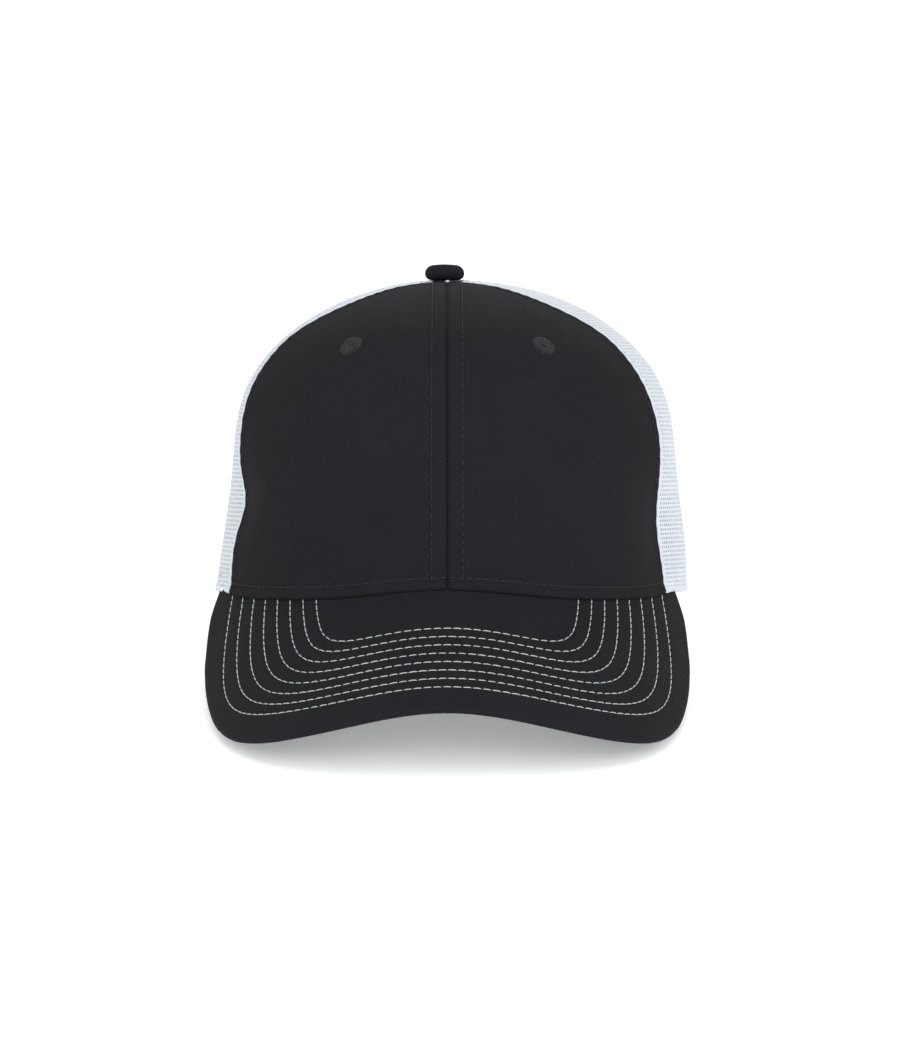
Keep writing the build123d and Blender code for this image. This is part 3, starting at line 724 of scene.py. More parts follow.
def degrees_across(bearing, height):
    """Degrees of bearing for a millimetre across the cloth."""
    one_degree = np.linalg.norm(crown(bearing + 0.5, height) - crown(bearing - 0.5, height), axis=-1)
    return 1 / np.maximum(one_degree, 1e-3)


# Topstitching of the front: twin rows at the centre, a row inside each mesh seam
STITCH_PITCH = 3.1
STITCH_LENGTH = 2.6
BLACK_THREAD = 0.42
front_rows = []
for side in (1, -1):
    row_height = height_at(np.linspace(climb_at(join_height(3.0)) + 1.5, TOP_CLIMB - 7, 160))
    row_bearing = side * CENTRE_ROW * degrees_across(side * 3.0, row_height)
    front_rows.append(crown_path(row_bearing, row_height, -0.05))
    row_height = height_at(np.linspace(climb_at(join_height(60.0)) + 1.5, TOP_CLIMB - 9, 160))
    seam = side * front_seam(row_height, side)
    inside_seam = seam - side * SEAM_ROW * degrees_across(seam, row_height)
    front_rows.append(crown_path(inside_seam, row_height, -0.02))
sew("crown_topstitching_thread", front_rows, black_thread, STITCH_PITCH, STITCH_LENGTH, BLACK_THREAD, 11,
    nodes=["crown_topstitching"])

# Row along the foot of the front
hem_bearing = np.linspace(-59, 59, 200)
hem_height = height_at(climb_at(join_height(hem_bearing) + HEM_CLEAR) + HEM_ROW)
sew("hem_stitching_thread", [crown_path(hem_bearing, hem_height, -0.05)], black_thread, STITCH_PITCH,
    STITCH_LENGTH, BLACK_THREAD, 12, nodes=["hem_stitching"])


# ---- Eyelets -----------------------------------------------------------------------------
# Ventilation holes worked round with satin stitch in black thread, one in each front panel.

EYELET_RING = 2.65
EYELET_REACH = 4.2
EYELET_PITCH = 0.36
EYELET_THREAD = 0.44


def ring_on_crown(bearing, height, radius, lift, count=96):
    """Circle of points round a place on the crown, lying on the cloth."""
    middle = crown(bearing, height)
    square = outward(bearing, height)
    level = np.cross([0, 0, 1.0], square)
    level = level / np.linalg.norm(level)
    upright = np.cross(square, level)
    turn = np.linspace(0, 2 * np.pi, count)
    flat = middle + radius * (np.cos(turn)[:, None] * level + np.sin(turn)[:, None] * upright)
    sag = radius ** 2 / (2 * 75.0)
    return flat + square * (lift - sag), np.tile(square, (count, 1))


for side, hand in ((1, "left"), (-1, "right")):
    rings = [ring_on_crown(side * EYELET_BEARING, EYELET_HEIGHT, EYELET_RING, 0.15)]
    sew(f"eyelet_{hand}_thread", rings, black_thread, EYELET_PITCH, EYELET_REACH, EYELET_THREAD, 20 + side,
        bow=0.85, turn=math.pi / 2, nodes=[f"eyelet_{hand}"])


# ---- Covered button ----------------------------------------------------------------------
# A pressed metal shell covered in the same twill, drawn in under its edge and seated on the
# point where the panels meet.

BUTTON_RADIUS = 7.35
BUTTON_RISE = 5.7
BUTTON_SHOULDER = 3.3
BUTTON_SHIFT = -1.0
BUTTON_SEAT = 117.0
BUTTON_SIDES = 96



def turned_piece(name, profile, material, nodes, gathers=0.0):
    """Closed round piece on the button's axis, from (radius, height above the seat) pairs."""
    reach, level = np.array(profile).T
    around = np.linspace(0, 2 * np.pi, BUTTON_SIDES, endpoint=False)
    gather = 1 - gathers * (1 - step(0.2, 2.6, level))[:, None] * (1 + np.cos(around * 22))[None, :]
    wall = np.stack([reach[:, None] * gather * np.cos(around) + BUTTON_SHIFT,
                     reach[:, None] * gather * np.sin(around),
                     np.broadcast_to(BUTTON_SEAT + level[:, None], (len(level), BUTTON_SIDES))], axis=-1)
    ends = [[BUTTON_SHIFT, 0, BUTTON_SEAT + level[-1]], [BUTTON_SHIFT, 0, BUTTON_SEAT + level[0]]]
    rings = len(level)
    faces = grid_faces(rings, BUTTON_SIDES, wrap=True)
    last = (rings - 1) * BUTTON_SIDES
    for c in range(BUTTON_SIDES):
        d = (c + 1) % BUTTON_SIDES
        faces.append((last + c, last + d, rings * BUTTON_SIDES))
        faces.append((d, c, rings * BUTTON_SIDES + 1))
    piece = mesh_object(name, np.concatenate([wall.reshape(-1, 3), ends]), faces)
    travel = np.concatenate([[0], np.cumsum(np.hypot(np.diff(reach), np.diff(level)))])
    spread = (travel[-1] - travel + reach[-1])[:, None]
    uv = np.stack([spread * np.cos(around), spread * np.sin(around)], axis=-1).reshape(-1, 2)
    map_weave(piece, np.concatenate([uv, [[0, 0], [0, 0]]]))
    finish_piece(piece, "cap", material, nodes)
    return piece


def shell_profile(inset):
    """Outline of the button, smaller all round by an inset."""
    turns = np.linspace(0, np.pi / 2, 14)
    radius, rise, shoulder = BUTTON_RADIUS - inset, BUTTON_RISE - inset, BUTTON_SHOULDER - inset
    rim = [(4.6, inset), (5.9 - inset, 0.25 + inset), (6.7 - inset, 0.7 + inset),
           (radius - 0.2, 1.3 + inset * 0.5), (radius, 2.0)]
    curve = [(radius - shoulder + shoulder * math.cos(a), rise - shoulder + shoulder * math.sin(a))
             for a in turns]
    crest = [(r, rise + 0.25 * (1 - (r / 4.05) ** 2)) for r in (3.4, 2.6, 1.8, 1.0, 0.4)]
    return rim + curve + crest


turned_piece("button_cover_twill", shell_profile(0.0), front_twill, ["button_cover"],
             gathers=0.018)

# Metal shell inside the cover, with its back plate
button_metal = bpy.data.materials.new("button_metal_brushed")
button_metal.use_nodes = True
metal_tree = button_metal.node_tree
metal_skin = metal_tree.nodes["Principled BSDF"]
metal_place = metal_tree.nodes.new("ShaderNodeTexCoord")
metal_grain = noise(metal_tree, metal_place.outputs["Object"], 1200, 3.0)
metal_rough = calc(metal_tree, "MULTIPLY_ADD", metal_grain, 0.25, 0.25)
metal_tree.links.new(metal_rough, metal_skin.inputs["Roughness"])
metal_skin.inputs["Base Color"].default_value = (0.62, 0.62, 0.63, 1)
metal_skin.inputs["Metallic"].default_value = 1.0
turned_piece("button_shell_metal", shell_profile(0.5), button_metal,
             ["button_shell", "button_plate"])
for node in ("button_post", "button_washer"):
    frame["nodes"][node].data.materials.clear()
    frame["nodes"][node].data.materials.append(button_metal)


# ---- Mesh panels -------------------------------------------------------------------------
# Side and back panels of white polyester knit: staggered holes in level rows, one sheet thick.
# Their edges go under the front, over the rim and round the rear opening.

NET_COLUMN = 1.85
NET_ROW = 1.6
NET_OPEN = 0.62
NET_THICKNESS = 0.5
NET_JITTER = 0.06
RIM_LIFT = 1.8
ARCH_RADIUS = 50.0
ARCH_SPRING = 8.0


def make_net_group():
    """Node group that turns a mesh of triangles into a knit with a hole round each point."""
    group = bpy.data.node_groups.new("knit", "GeometryNodeTree")
    group_socket(group, "Lattice", "INPUT", "NodeSocketGeometry")
    group_socket(group, "Open", "INPUT", "NodeSocketFloat", 0.6)
    group_socket(group, "Seed", "INPUT", "NodeSocketInt", 1)
    group_socket(group, "Material", "INPUT", "NodeSocketMaterial")
    group_socket(group, "Net", "OUTPUT", "NodeSocketGeometry")
    nodes, links = group.nodes, group.links
    enter, leave = nodes.new("NodeGroupInput"), nodes.new("NodeGroupOutput")
    dual = nodes.new("GeometryNodeDualMesh")
    links.new(enter.outputs["Lattice"], dual.inputs["Mesh"])
    inset = nodes.new("GeometryNodeExtrudeMesh")
    inset.mode = "FACES"
    inset.inputs["Individual"].default_value = True
    inset.inputs["Offset Scale"].default_value = 0.0
    links.new(dual.outputs["Dual Mesh"], inset.inputs["Mesh"])
    vary = uneven(group, 0.9, 1.08, enter.outputs["Seed"])
    shrink = nodes.new("GeometryNodeScaleElements")
    links.new(inset.outputs["Mesh"], shrink.inputs["Geometry"])
    links.new(inset.outputs["Top"], shrink.inputs["Selection"])
    links.new(calc(group, "MULTIPLY", vary, enter.outputs["Open"]), shrink.inputs["Scale"])
    hole = nodes.new("GeometryNodeDeleteGeometry")
    hole.domain = "FACE"
    links.new(shrink.outputs["Geometry"], hole.inputs["Geometry"])
    links.new(inset.outputs["Top"], hole.inputs["Selection"])
    real = nodes.new("GeometryNodeRealizeInstances")
    links.new(hole.outputs["Geometry"], real.inputs["Geometry"])
    paint = nodes.new("GeometryNodeSetMaterial")
    links.new(real.outputs["Geometry"], paint.inputs["Geometry"])
    links.new(enter.outputs["Material"], paint.inputs["Material"])
    links.new(paint.outputs["Geometry"], leave.inputs["Net"])
    return group


def knit_material(name, colour, grain):
    """White polyester: fine filaments, a little light through them."""
    material = bpy.data.materials.new(name)
    material.use_nodes = True
    tree = material.node_tree
    skin = tree.nodes["Principled BSDF"]
    place = tree.nodes.new("ShaderNodeTexCoord")
    fleck = noise(tree, place.outputs["Object"], grain, 3.0, 0.6)
    tint = tree.nodes.new("ShaderNodeMix")
    tint.data_type = "RGBA"
    tint.inputs["A"].default_value = (*[c * 0.86 for c in colour], 1)
    tint.inputs["B"].default_value = (*[min(c * 1.08, 1) for c in colour], 1)
    tree.links.new(fleck, tint.inputs["Factor"])
    tree.links.new(tint.outputs["Result"], skin.inputs["Base Color"])
    relief = tree.nodes.new("ShaderNodeBump")
    relief.inputs["Distance"].default_value = 0.05 * MM
    tree.links.new(fleck, relief.inputs["Height"])
    tree.links.new(relief.outputs["Normal"], skin.inputs["Normal"])
    skin.inputs["Roughness"].default_value = 0.55
    skin.inputs["Sheen Weight"].default_value = 0.2
    return material


net_group = make_net_group()
mesh_knit = knit_material("mesh_knit", (0.52, 0.55, 0.595), 1500)


def arch_half(height):
    """Half the width of the rear opening at a height."""
    above = np.maximum(np.asarray(height, float) - ARCH_SPRING, 0)
    return np.sqrt(np.maximum(ARCH_RADIUS ** 2 - above ** 2, 0))


def bearing_of(across, height, out=0.0):
    """Bearing at the back of the crown, on the wearer's left, of points this far from the middle."""
    across, height = np.broadcast_arrays(np.asarray(across, float), np.asarray(height, float))
    low, high = np.full(across.shape, 95.0), np.full(across.shape, 180.0)
    for _ in range(26):
        middle = (low + high) / 2
        wide = crown(middle, height, out)[..., 0] > across
        low, high = np.where(wide, middle, low), np.where(wide, high, middle)
    return (low + high) / 2


def rim_lift(bearing):
    """How far the visor's ends hold up the rim of the mesh beside them."""
    return RIM_LIFT * (1 - step(84, 108, bearing))


def net_piece(name, side, middle, front, back, seed, nodes, cut_arch=False):
    """Panel of the net between two seams on one side. front and back give bearings by height."""
    rows = np.arange(0, int(TOP_CLIMB / NET_ROW) + 2)
    columns = np.arange(-48, 49)
    j, i = np.meshgrid(rows, columns, indexing="ij")
    rng = np.random.default_rng(seed)
    climb = j * NET_ROW + 0.9 + rng.normal(0, NET_JITTER, j.shape)
    over = (i + 0.5 * (j % 2)) * NET_COLUMN + rng.normal(0, NET_JITTER, j.shape)
    height = height_at(np.clip(climb, 0, TOP_CLIMB - 0.5))
    rate = degrees_across(middle, height)
    bearing = middle + over * rate
    to_front = (bearing - front(height)) / rate
    to_back = (back(height) - bearing) / rate
    keep = (to_front > -2.2) & (to_back > -0.9) & (climb < TOP_CLIMB - 2.5) & (rate < 12)
    keep &= climb > rim_lift(bearing)
    if cut_arch:
        beside_arch = np.abs(crown(bearing, height)[..., 0]) > arch_half(height) + 0.4
        keep &= beside_arch | (height > ARCH_SPRING + ARCH_RADIUS + 0.4)
    out = -1.1 * step(0.8, -0.6, to_front) - 0.5
    out = out + 0.12 * np.sin(climb * 2 * np.pi / (2 * NET_ROW))
    points = crown(side * bearing, height, out)
    index = -np.ones(j.shape, dtype=int)
    index[keep] = np.arange(keep.sum())
    faces = []
    for r in range(len(rows) - 1):
        shift = r % 2
        for c in range(len(columns) - 1):
            a, b = index[r, c], index[r, c + 1]
            if shift == 0:
                p, q = index[r + 1, c], index[r + 1, c + 1]
                cells = ((a, b, p), (b, q, p))
            else:
                p, q = index[r + 1, c], index[r + 1, c + 1]
                cells = ((a, b, q), (a, q, p))
            for cell in cells:
                if min(cell) >= 0:
                    faces.append(cell if side > 0 else tuple(reversed(cell)))
    piece = mesh_object(name, points[keep], faces, smooth=False)
    run_nodes(piece, net_group, {"Open": NET_OPEN, "Seed": seed, "Material": mesh_knit})
    thicken(piece, NET_THICKNESS, offset=0.0)
    finish_piece(piece, "cap", mesh_knit, nodes)
    return piece


for side, hand in ((1, "left"), (-1, "right")):
    net_piece(f"side_mesh_{hand}_knit", side, 92.0, lambda h: front_seam(h, side),
              lambda h: BACK_SEAM + 0 * h, 30 + side, [f"side_mesh_{hand}"])
    net_piece(f"back_mesh_{hand}_knit", side, 151.0, lambda h: BACK_SEAM + 0 * h + 1.0,
              lambda h: 180 + 0 * h, 40 + side,
              [f"back_mesh_{hand}"], cut_arch=True)


# ---- Folded edges of the mesh ------------------------------------------------------------
# Where mesh meets mesh the edges are turned in, and show as two soft ridges. Beside the front
# the turned edge of the mesh makes a denser white band, and the rim is turned up inside.

edge_knit = knit_material("edge_knit", (0.47, 0.50, 0.545), 1400)


def band(bearings, heights, profile, side=1):
    """Grid of points along a line on the crown. profile holds (millimetres across, out) pairs."""
    rate = degrees_across(bearings, heights)
    rows = []
    for across, out in profile:
        rows.append(crown(side * (bearings + across * rate), heights, out))
    return np.stack(rows, axis=1)


def closed_strip(name, grid, body, material, nodes=(), smooth=True):
    """Solid strip from a grid whose columns run round its closed profile, with both ends closed."""
    rows, columns = grid.shape[:2]
    faces = grid_faces(rows, columns, wrap=True)
    faces.append(tuple(range(columns)))
    faces.append(tuple((rows - 1) * columns + c for c in reversed(range(columns))))
    piece = mesh_object(name, grid, faces, smooth)
    tidy = bmesh.new()
    tidy.from_mesh(piece.data)
    bmesh.ops.recalc_face_normals(tidy, faces=tidy.faces)
    tidy.to_mesh(piece.data)
    tidy.free()
    finish_piece(piece, body, material, nodes)
    return piece


RIDGE = [(-1.3, -0.55), (-1.15, 0.0), (-0.75, 0.25), (-0.3, 0.12), (0.0, -0.25), (0.3, 0.12),
         (0.75, 0.25), (1.15, 0.0), (1.3, -0.55), (0.6, -0.9), (-0.6, -0.9)]
FRONT_FOLD = [(-1.2, -1.25), (-0.2, -0.75), (0.3, -0.3), (1.2, -0.15), (2.6, -0.2), (3.2, -0.3),
              (3.5, -0.6), (3.0, -0.9), (1.0, -1.2), (-0.6, -1.6)]
for side, hand in ((1, "left"), (-1, "right")):
    heights = height_at(np.linspace(0.6, TOP_CLIMB - 6, 150))
    back_ridge = band(np.full(150, BACK_SEAM), heights, RIDGE, side)
    closed_strip(f"side_back_fold_{hand}", back_ridge, "cap", edge_knit)
    front_edge = band(front_seam(heights, side), heights, FRONT_FOLD, side)
    closed_strip(f"front_side_fold_{hand}", front_edge, "cap", edge_knit)
heights = height_at(np.linspace(climb_at(ARCH_SPRING + ARCH_RADIUS + 1.5), TOP_CLIMB - 6, 90))
closed_strip("back_fold", band(np.full(90, 180.0), heights, RIDGE), "cap", edge_knit)


# Turned-up rim of the mesh, from the front seam to the rear opening, with its row of stitches
RIM_FOLD = [(2.5, 0.02), (1.9, 0.2), (0.6, 0.25), (0.0, 0.05), (-0.25, -0.5), (0.0, -1.1),
            (1.0, -1.3), (5.5, -1.25), (5.7, -1.05), (5.4, -0.9), (2.6, -0.85), (2.7, -0.4)]
RIM_ROW = 4.3
RIM_THREAD_START = 100.0
for side, hand in ((1, "left"), (-1, "right")):
    rim_end = float(bearing_of(ARCH_RADIUS + 1.5, 1.0))
    at = np.linspace(front_seam(1.0, side) - 1.5, rim_end, 160)
    rim = np.stack([crown(side * at, rise + rim_lift(at), out) for rise, out in RIM_FOLD], axis=1)
    closed_strip(f"rim_fold_{hand}", rim, "cap", edge_knit)
    at = np.linspace(RIM_THREAD_START, rim_end - 1.5, 200)
    rim_row = crown_path(side * at, RIM_ROW, 0.05)
    sew(f"rim_fold_{hand}_thread", [rim_row], white_thread, 3.2, 2.6, 0.42, 50 + side)


# ---- Visor -------------------------------------------------------------------------------
# Two twill covers are drawn over a bent plastic board and sewn through in eight rows that
# follow its edge. The covers meet in a seam round the edge.

VISOR_HALF = 89.6
VISOR_LENGTH = 65.4
VISOR_SHOULDER = -10.8
VISOR_SQUARE = 4.07
VISOR_NARROW = 0.152
VISOR_THICK = 3.2
EDGE_ROUND = 1.6
VISOR_ROWS = 8
ROW_STEP = 4.68
SIDE_SOFTNESS = 9.0
FAN_COLUMNS = 230
FAN_ROWS = 90


def fan_curve(half_width, length, shoulder, squareness, narrow, flare, back, count=240):
    """Half of a curve round the visor from its side to its middle, as (across, forward)."""
    turn = np.linspace(0, np.pi / 2, count)
    forward = np.concatenate([np.linspace(back, shoulder, 60)[:-1],
                              shoulder + (length - shoulder) * np.sin(turn) ** (2 / squareness)])
    round_in = np.concatenate([np.ones(59), np.cos(turn) ** (2 / squareness)])
    ahead = forward - shoulder
    sides = half_width - SIDE_SOFTNESS * (narrow * np.logaddexp(0, ahead / SIDE_SOFTNESS)
                                          + flare * np.logaddexp(0, -ahead / SIDE_SOFTNESS))
    return sides * round_in, forward


def both_sides(x, forward):
    """Whole curve, from the wearer's right to the left, from its half."""
    return np.concatenate([-x, x[::-1][1:]]), np.concatenate([forward, forward[::-1][1:]])


def even(x, forward, count):
    """Curve resampled at even distances."""
    length = np.concatenate([[0], np.cumsum(np.hypot(np.diff(x), np.diff(forward)))])
    at = np.linspace(0, length[-1], count)
    return np.interp(at, length, x), np.interp(at, length, forward)


def root_curve(count=400):
    """Where the foot of the crown lies on the visor, as (across, forward)."""
    bearing = np.linspace(-74, 74, count)
    foot = crown(bearing, 0.0)
    level = -RIM_FRONT + visor_drop(foot[:, 0]) * math.sin(VISOR_SLOPE) - foot[:, 1]
    return foot[:, 0], level / math.cos(VISOR_SLOPE)


def distance_to(px, pv, x, forward):
    """Distance of points from a curve."""
    ax, av, bx, bv = x[:-1], forward[:-1], x[1:], forward[1:]
    dx, dv = bx - ax, bv - av
    length = dx ** 2 + dv ** 2 + 1e-9
    best = np.full(px.shape, 1e9)
    for k in range(len(ax)):
        t = np.clip(((px - ax[k]) * dx[k] + (pv - av[k]) * dv[k]) / length[k], 0, 1)
        best = np.minimum(best, (px - ax[k] - t * dx[k]) ** 2 + (pv - av[k] - t * dv[k]) ** 2)
    return np.sqrt(best)


edge_x, edge_v = fan_curve(VISOR_HALF, VISOR_LENGTH, VISOR_SHOULDER, VISOR_SQUARE, VISOR_NARROW, 0.07, -60)
edge_x = edge_x - 3.4 * step(-40, -60, edge_v)
edge_x, edge_v = even(*both_sides(edge_x, edge_v), FAN_COLUMNS)
root_x, root_v = root_curve()
foot_x, foot_v = even(root_x, root_v, FAN_COLUMNS)
foot_x, foot_v = foot_x * 0.985, foot_v - 1.4

row_curves = []
for k in range(VISOR_ROWS):
    share = k / (VISOR_ROWS - 1)
    x, v = fan_curve(80.3 - 4.57 * k, 53.6 - ROW_STEP * k, -18 + 0.77 * k, 3.5 + 2.5 * share,
                     0.15 * share, 0.09, -62)
    x, v = even(*both_sides(x, v), 300)
    shown = v > np.interp(x, root_x, root_v) + 0.2
    row_curves.append((x[shown], v[shown]))

fan_share = 1 - (1 - np.linspace(0, 1, FAN_ROWS)) ** 1.5
fan_x = foot_x[None, :] + fan_share[:, None] * (edge_x - foot_x)[None, :]
fan_v = foot_v[None, :] + fan_share[:, None] * (edge_v - foot_v)[None, :]
to_edge = distance_to(fan_x, fan_v, edge_x, edge_v)
to_row = np.full(fan_x.shape, 1e9)
for x, v in row_curves:
    to_row = np.minimum(to_row, distance_to(fan_x, fan_v, x, v))


def rolled(inset):
    """Drop of a rounded edge at a distance inside it."""
    near = np.clip(inset / EDGE_ROUND, 0, 1)
    return EDGE_ROUND * (1 - np.sqrt(1 - (1 - near) ** 2))


fan_uv = np.stack([VISOR_BEND * np.arcsin(np.clip(fan_x / VISOR_BEND, -1, 1)), -fan_v], axis=-1)
quilt = 0.22 * hill(to_row, 0, 0.75)
for face, sign, name in ((0.0, 1, "top"), (-VISOR_THICK, -1, "under")):
    lift = face - sign * (rolled(to_edge) + quilt + 0.05 * np.sin(fan_v / 3.1 + fan_x / 9))
    lift = np.where(to_edge < 0.05, -VISOR_THICK / 2 + sign * 0.03, lift)
    points = visor(fan_x, fan_v, lift)
    cover = sheet_piece(f"visor_{name}_cover_twill", points, flip=sign > 0, uv=fan_uv)
    thicken(cover, 0.6)
    finish_piece(cover, "cap", front_twill, [f"visor_{name}_cover"])

# Plastic board inside the covers
board_plastic = bpy.data.materials.new("board_plastic")
board_plastic.use_nodes = True
board_tree = board_plastic.node_tree
board_skin = board_tree.nodes["Principled BSDF"]
board_place = board_tree.nodes.new("ShaderNodeTexCoord")
board_grain = noise(board_tree, board_place.outputs["Object"], 300, 2.0)
board_rough = calc(board_tree, "MULTIPLY_ADD", board_grain, 0.15, 0.4)
board_tree.links.new(board_rough, board_skin.inputs["Roughness"])
board_skin.inputs["Base Color"].default_value = (0.75, 0.76, 0.74, 1)
board_share = np.linspace(0, 1, 40)[:, None]
inner_x = foot_x[None, :] * 0.985 + board_share * (edge_x * 0.978 - foot_x * 0.985)[None, :]
inner_v = foot_v[None, :] + 0.6 + board_share * (edge_v * 0.975 - foot_v - 1.0)[None, :]
board = sheet_piece("visor_board_sheet", visor(inner_x, inner_v, -0.85), flip=True)
thicken(board, 1.5)
finish_piece(board, "cap", board_plastic, ["visor_board"])

# Eight rows of pale thread, above and below
ROW_PITCH = 3.4
ROW_STITCH = 3.15
GREY_THREAD = 0.38
for face, sign, name in ((0.0, 1, "top"), (-VISOR_THICK, -1, "under")):
    paths = []
    for x, v in row_curves:
        points = visor(x, v, face - sign * 0.14)
        ups = sign * (visor(x, v, 1.0) - visor(x, v, 0.0))
        paths.append((points, ups))
    sew(f"visor_{name}_stitching", paths, grey_thread, ROW_PITCH, ROW_STITCH, GREY_THREAD, 60 + sign,
        bow=0.22)


# ---- Stiffening inside the front ---------------------------------------------------------
# Open white buckram, stiffened with size, lies behind both front panels.

def make_scrim_group():
    """Node group of a plain open weave: colour, roughness and height."""
    group = bpy.data.node_groups.new("scrim", "ShaderNodeTree")
    group_socket(group, "Cloth", "INPUT", "NodeSocketVector")
    group_socket(group, "Yarn Pitch", "INPUT", "NodeSocketFloat", 1.1)
    group_socket(group, "Gap Colour", "INPUT", "NodeSocketColor", (0.3, 0.3, 0.29, 1))
    group_socket(group, "Yarn Colour", "INPUT", "NodeSocketColor", (0.7, 0.7, 0.67, 1))
    group_socket(group, "Colour", "OUTPUT", "NodeSocketColor")
    group_socket(group, "Roughness", "OUTPUT", "NodeSocketFloat")
    group_socket(group, "Height", "OUTPUT", "NodeSocketFloat")
    enter = group.nodes.new("NodeGroupInput")
    leave = group.nodes.new("NodeGroupOutput")
    split = group.nodes.new("ShaderNodeSeparateXYZ")
    group.links.new(enter.outputs["Cloth"], split.inputs[0])
    waves = []
    for axis in ("X", "Y"):
        turned = calc(group, "MULTIPLY", split.outputs[axis], math.pi)
        phase = calc(group, "DIVIDE", turned, enter.outputs["Yarn Pitch"])
        waves.append(calc(group, "ABSOLUTE", calc(group, "SINE", phase)))
    yarn = calc(group, "MAXIMUM", waves[0], waves[1])
    fibre = noise(group, enter.outputs["Cloth"], 4.0, 3.0, 0.6)
    tone = calc(group, "MULTIPLY_ADD", fibre, 0.3, calc(group, "MULTIPLY_ADD", yarn, 1.5, -0.75))
    mixer = group.nodes.new("ShaderNodeMix")
    mixer.data_type = "RGBA"
    group.links.new(tone, mixer.inputs["Factor"])
    group.links.new(enter.outputs["Gap Colour"], mixer.inputs["A"])
    group.links.new(enter.outputs["Yarn Colour"], mixer.inputs["B"])
    group.links.new(mixer.outputs["Result"], leave.inputs["Colour"])
    group.links.new(calc(group, "MULTIPLY_ADD", fibre, 0.1, 0.8), leave.inputs["Roughness"])
    group.links.new(yarn, leave.inputs["Height"])
    return group


scrim_group = make_scrim_group()
buckram_cloth = cloth_material("buckram_cloth", scrim_group, {}, 0.2)
for side, hand in ((1, "left"), (-1, "right")):
    rows = height_at(np.linspace(5.5, TOP_CLIMB - 6, 90))[:, None]
    share = np.linspace(0.004, 0.985, 60)[None, :]
    points = crown(side * share * front_seam(rows, side), np.broadcast_to(rows, (90, 60)), -0.95)
    scrim = sheet_piece(f"front_buckram_{hand}_scrim", points, flip=side < 0)
    thicken(scrim, 0.8)
    bore(scrim, crown(side * EYELET_BEARING, EYELET_HEIGHT),
         outward(side * EYELET_BEARING, EYELET_HEIGHT), EYELET_BORE + 0.4)
    finish_piece(scrim, "cap", buckram_cloth, [f"front_buckram_{hand}"])


# ---- Seam tapes --------------------------------------------------------------------------
# Black twill tapes cover the raw seams inside, each folded in at its edges and sewn down with
# two rows of black thread.

TAPE_FOOT = 6.0
TAPE_TOP = TOP_CLIMB - 14.5
tape_twill = cloth_material("tape_twill", twill_group,
                            {"Wale Pitch": 0.6, "Wale Angle": math.radians(45)}, 0.04)
TAPE = [(-7.0, -2.1), (-6.6, -1.85), (-5.5, -1.8), (0.0, -1.85), (5.5, -1.8), (6.6, -1.85),
        (7.0, -2.1), (6.7, -2.55), (5.6, -2.65), (4.9, -2.5), (0.0, -2.55), (-4.9, -2.5),
        (-5.6, -2.65), (-6.7, -2.55)]


def tape_piece(name, line, climb_low, climb_high, side, nodes, thread_name, seed):
    """Tape along a seam inside the crown with its two rows of stitches."""
    heights = height_at(np.linspace(climb_low, climb_high, 120))
    bearings = line(heights)
    grid = band(bearings, heights, TAPE, side)
    rows, columns = grid.shape[:2]
    tape = closed_strip(name, grid, "cap", tape_twill, nodes)
    uv = np.stack(np.broadcast_arrays(np.array([p[0] for p in TAPE])[None, :],
                                      np.linspace(climb_low, climb_high, rows)[:, None]), axis=-1)
    map_weave(tape, uv.reshape(-1, 2))
    rate = degrees_across(bearings, heights)
    paths = []
    for across in (-5.2, 5.2):
        at = side * (bearings + across * rate)
        paths.append((crown(at, heights, -2.62), -outward(at, heights)))
    sew(thread_name, paths, black_thread, STITCH_PITCH, STITCH_LENGTH, BLACK_THREAD, seed)


for side, hand in ((1, "left"), (-1, "right")):
    tape_piece(f"front_side_tape_{hand}_band", lambda h: front_seam(h, side), TAPE_FOOT, TAPE_TOP, side,
               [f"front_side_tape_{hand}"], f"front_side_tape_{hand}_thread", 70 + side)
    tape_piece(f"side_back_tape_{hand}_band", lambda h: BACK_SEAM + 0 * h, TAPE_FOOT, TAPE_TOP, side,
               [f"side_back_tape_{hand}"], f"side_back_tape_{hand}_thread", 74 + side)


# ---- Centre tape -------------------------------------------------------------------------
# One tape runs from the front over the top and down the back to the rear opening.

front_climb = np.linspace(TAPE_FOOT, TOP_CLIMB - 3, 130)
back_climb = np.linspace(TOP_CLIMB - 3, climb_at(ARCH_SPRING + ARCH_RADIUS + 3), 90)
front_line = crown(0.0, height_at(front_climb), -1.8)
back_line = crown(180.0, height_at(back_climb), -1.8)
centre_line = np.concatenate([front_line, back_line])
centre_line[:, 0] = 0
for _ in range(6):
    inner = slice(110, 150)
    before, after = np.roll(centre_line, 1, axis=0), np.roll(centre_line, -1, axis=0)
    centre_line[inner] = (before[inner] + after[inner]) / 2
slope = np.gradient(centre_line, axis=0)
slope = slope / np.linalg.norm(slope, axis=1, keepdims=True)
inward = np.cross([1.0, 0, 0], slope)
inward = inward * np.sign(np.sum(inward * (np.array([0, 0, 40.0]) - centre_line), axis=1, keepdims=True))
width = np.array([p[0] for p in TAPE])
depth = np.array([-p[1] - 1.8 for p in TAPE])
curl = width ** 2 / (2 * 95.0)
centre_grid = (centre_line[:, None, :] + width[None, :, None] * np.array([1.0, 0, 0])
               + (depth + curl)[None, :, None] * inward[:, None, :])
centre_tape = closed_strip("centre_tape_band", centre_grid, "cap", tape_twill, ["centre_tape"])
along = np.concatenate([[0], np.cumsum(np.linalg.norm(np.diff(centre_line, axis=0), axis=1))])
centre_uv = np.stack(np.broadcast_arrays(width[None, :], along[:, None]), axis=-1)
map_weave(centre_tape, centre_uv.reshape(-1, 2))
centre_rows = []
for across in (-5.2, 5.2):
    points = centre_line + np.array([across, 0, 0]) + inward * (0.85 + across ** 2 / 190)
    centre_rows.append((points, inward))
sew("centre_tape_thread", centre_rows, black_thread, STITCH_PITCH, STITCH_LENGTH, BLACK_THREAD, 80)


